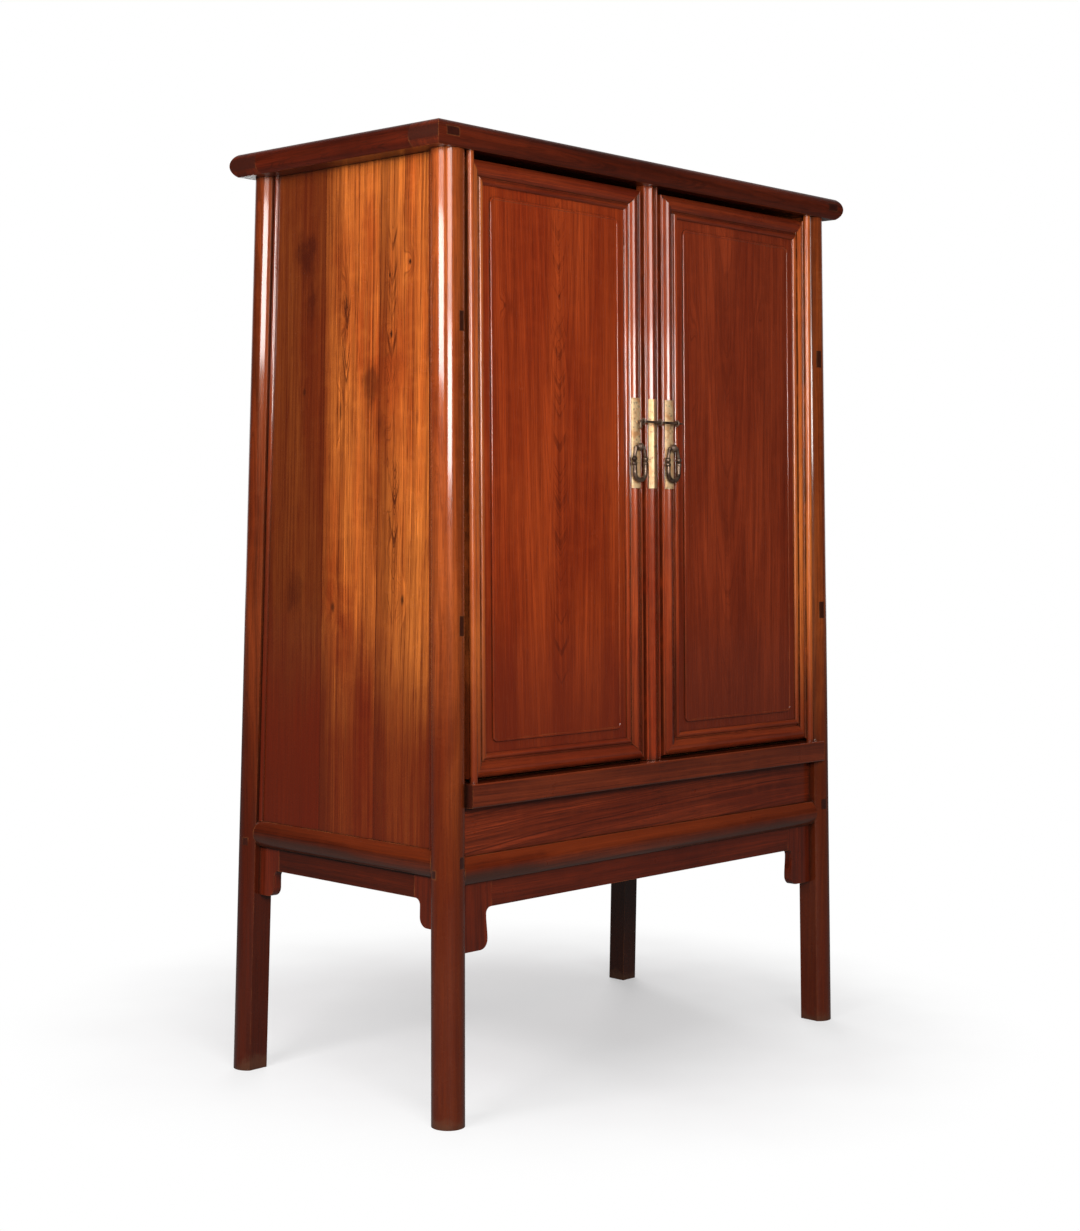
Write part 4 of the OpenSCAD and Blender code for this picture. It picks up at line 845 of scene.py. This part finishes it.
def make_floor():
    """White paper to the eye, shaded round the cabinet; a dim floor to what reflects it."""
    bpy.ops.mesh.primitive_circle_add(
        vertices=FLOOR_SIDES, radius=FLOOR_RADIUS, fill_type="NGON", location=(0, 0, 0)
    )
    floor = bpy.context.object
    floor.name = "floor"
    net = Net("paper_floor")
    seen, sent = ray_kinds(net.tree)
    place = net.parts(net.place)
    reach = net.span(net.sub(place[X], SHADE_X), net.sub(place[Y], SHADE_Y))
    grain = net.noise(net.place, 3.0, 3.0)
    paper = net.blend(seen, FLOOR_DIM, net.blend(grain, PAPER, PAPER_LIGHT))
    net.surface(Base_Color=paper, Roughness=0.7, Specular_IOR_Level=0.1)
    glow = net.tree.nodes.new("ShaderNodeEmission")
    glow.inputs["Color"].default_value = WHITE
    glow.inputs["Strength"].default_value = 1.0
    mix = net.tree.nodes.new("ShaderNodeMixShader")
    away = net.rise(net.add(reach, net.mul(grain, 0.2)), SHADE_NEAR, SHADE_FAR)
    lift = net.add(SHADE_LIFT, net.mul(away, 1.0 - SHADE_LIFT))
    net.give(mix.inputs[0], net.add(net.mul(seen, lift), net.mul(sent, FLOOR_GLOW)))
    net.join(net.shader.outputs["BSDF"], mix.inputs[1])
    net.join(glow.outputs["Emission"], mix.inputs[2])
    net.join(mix.outputs[0], net.out.inputs["Surface"])
    floor.data.materials.append(net.material)


def make_world():
    """A white background behind the cabinet, in a studio that is dim elsewhere."""
    world = bpy.data.worlds.new("studio")
    world.use_nodes = True
    SCENE.world = world
    tree = world.node_tree
    tree.nodes.clear()
    out = tree.nodes.new("ShaderNodeOutputWorld")
    seen, sent = ray_kinds(tree)
    fill = tree.nodes.new("ShaderNodeBackground")
    fill.inputs["Strength"].default_value = FILL
    back = tree.nodes.new("ShaderNodeBackground")
    for shader in (fill, back):
        shader.inputs["Color"].default_value = WHITE
    way = tree.nodes.new("ShaderNodeTexCoord")
    towards = tree.nodes.new("ShaderNodeVectorMath")
    towards.operation = "DOT_PRODUCT"
    towards.inputs[1].default_value = PAPER_BEHIND
    tree.links.new(way.outputs["Generated"], towards.inputs[0])
    fall = tree.nodes.new("ShaderNodeMapRange")
    fall.interpolation_type = "SMOOTHSTEP"
    fall.inputs["From Min"].default_value = PAPER_EDGE
    fall.inputs["From Max"].default_value = PAPER_FULL
    fall.inputs["To Min"].default_value = ROOM_GLOW
    fall.inputs["To Max"].default_value = 1.0
    tree.links.new(towards.outputs["Value"], fall.inputs["Value"])
    tree.links.new(larger(tree, seen, fall.outputs["Result"]), back.inputs["Strength"])
    mix = tree.nodes.new("ShaderNodeMixShader")
    tree.links.new(larger(tree, seen, sent), mix.inputs[0])
    tree.links.new(fill.outputs[0], mix.inputs[1])
    tree.links.new(back.outputs[0], mix.inputs[2])
    tree.links.new(mix.outputs[0], out.inputs["Surface"])


# Lamps. Places, aims and sizes are in metres, powers in watts
LEFT_AIM = (-0.55, -0.28, 1.45)
FRONT_AIM = (-0.3, -0.3, 1.3)
REAR_AIM = (0.2, 0.2, 1.1)


def lamp(name, place, aim, width, height, power):
    data = bpy.data.lights.new(name, "AREA")
    data.shape = "RECTANGLE"
    data.size = width
    data.size_y = height
    data.energy = power
    light = bpy.data.objects.new(name, data)
    light.location = place
    away = Vector(place) - Vector(aim)
    light.rotation_euler = away.to_track_quat("Z", "Y").to_euler()
    light.visible_camera = False
    SCENE.collection.objects.link(light)


def make_lights():
    """Low wide softboxes at the left and in front, the wall above each, and one behind."""
    lamp("left_softbox", (-2.35, -0.32, 1.72), LEFT_AIM, 1.15, 0.44, 31)
    lamp("left_wall", (-2.40, -0.32, 2.40), LEFT_AIM, 1.20, 0.80, 13)
    lamp("front_softbox", (-2.05, -2.95, 1.60), FRONT_AIM, 1.55, 0.50, 54)
    lamp("rear_softbox", (2.30, 2.60, 1.90), REAR_AIM, 1.9, 1.4, 52)
    lamp("front_wall", (-2.10, -3.00, 2.30), FRONT_AIM, 1.60, 0.80, 30)


make_camera()
make_world()
make_lights()
make_floor()
paint_posts()
paint_cap()
paint_sides()
paint_doors()
paint_low_front()
paint_back()
paint_inside()
paint_metal()

SCENE.view_settings.view_transform = "Standard"
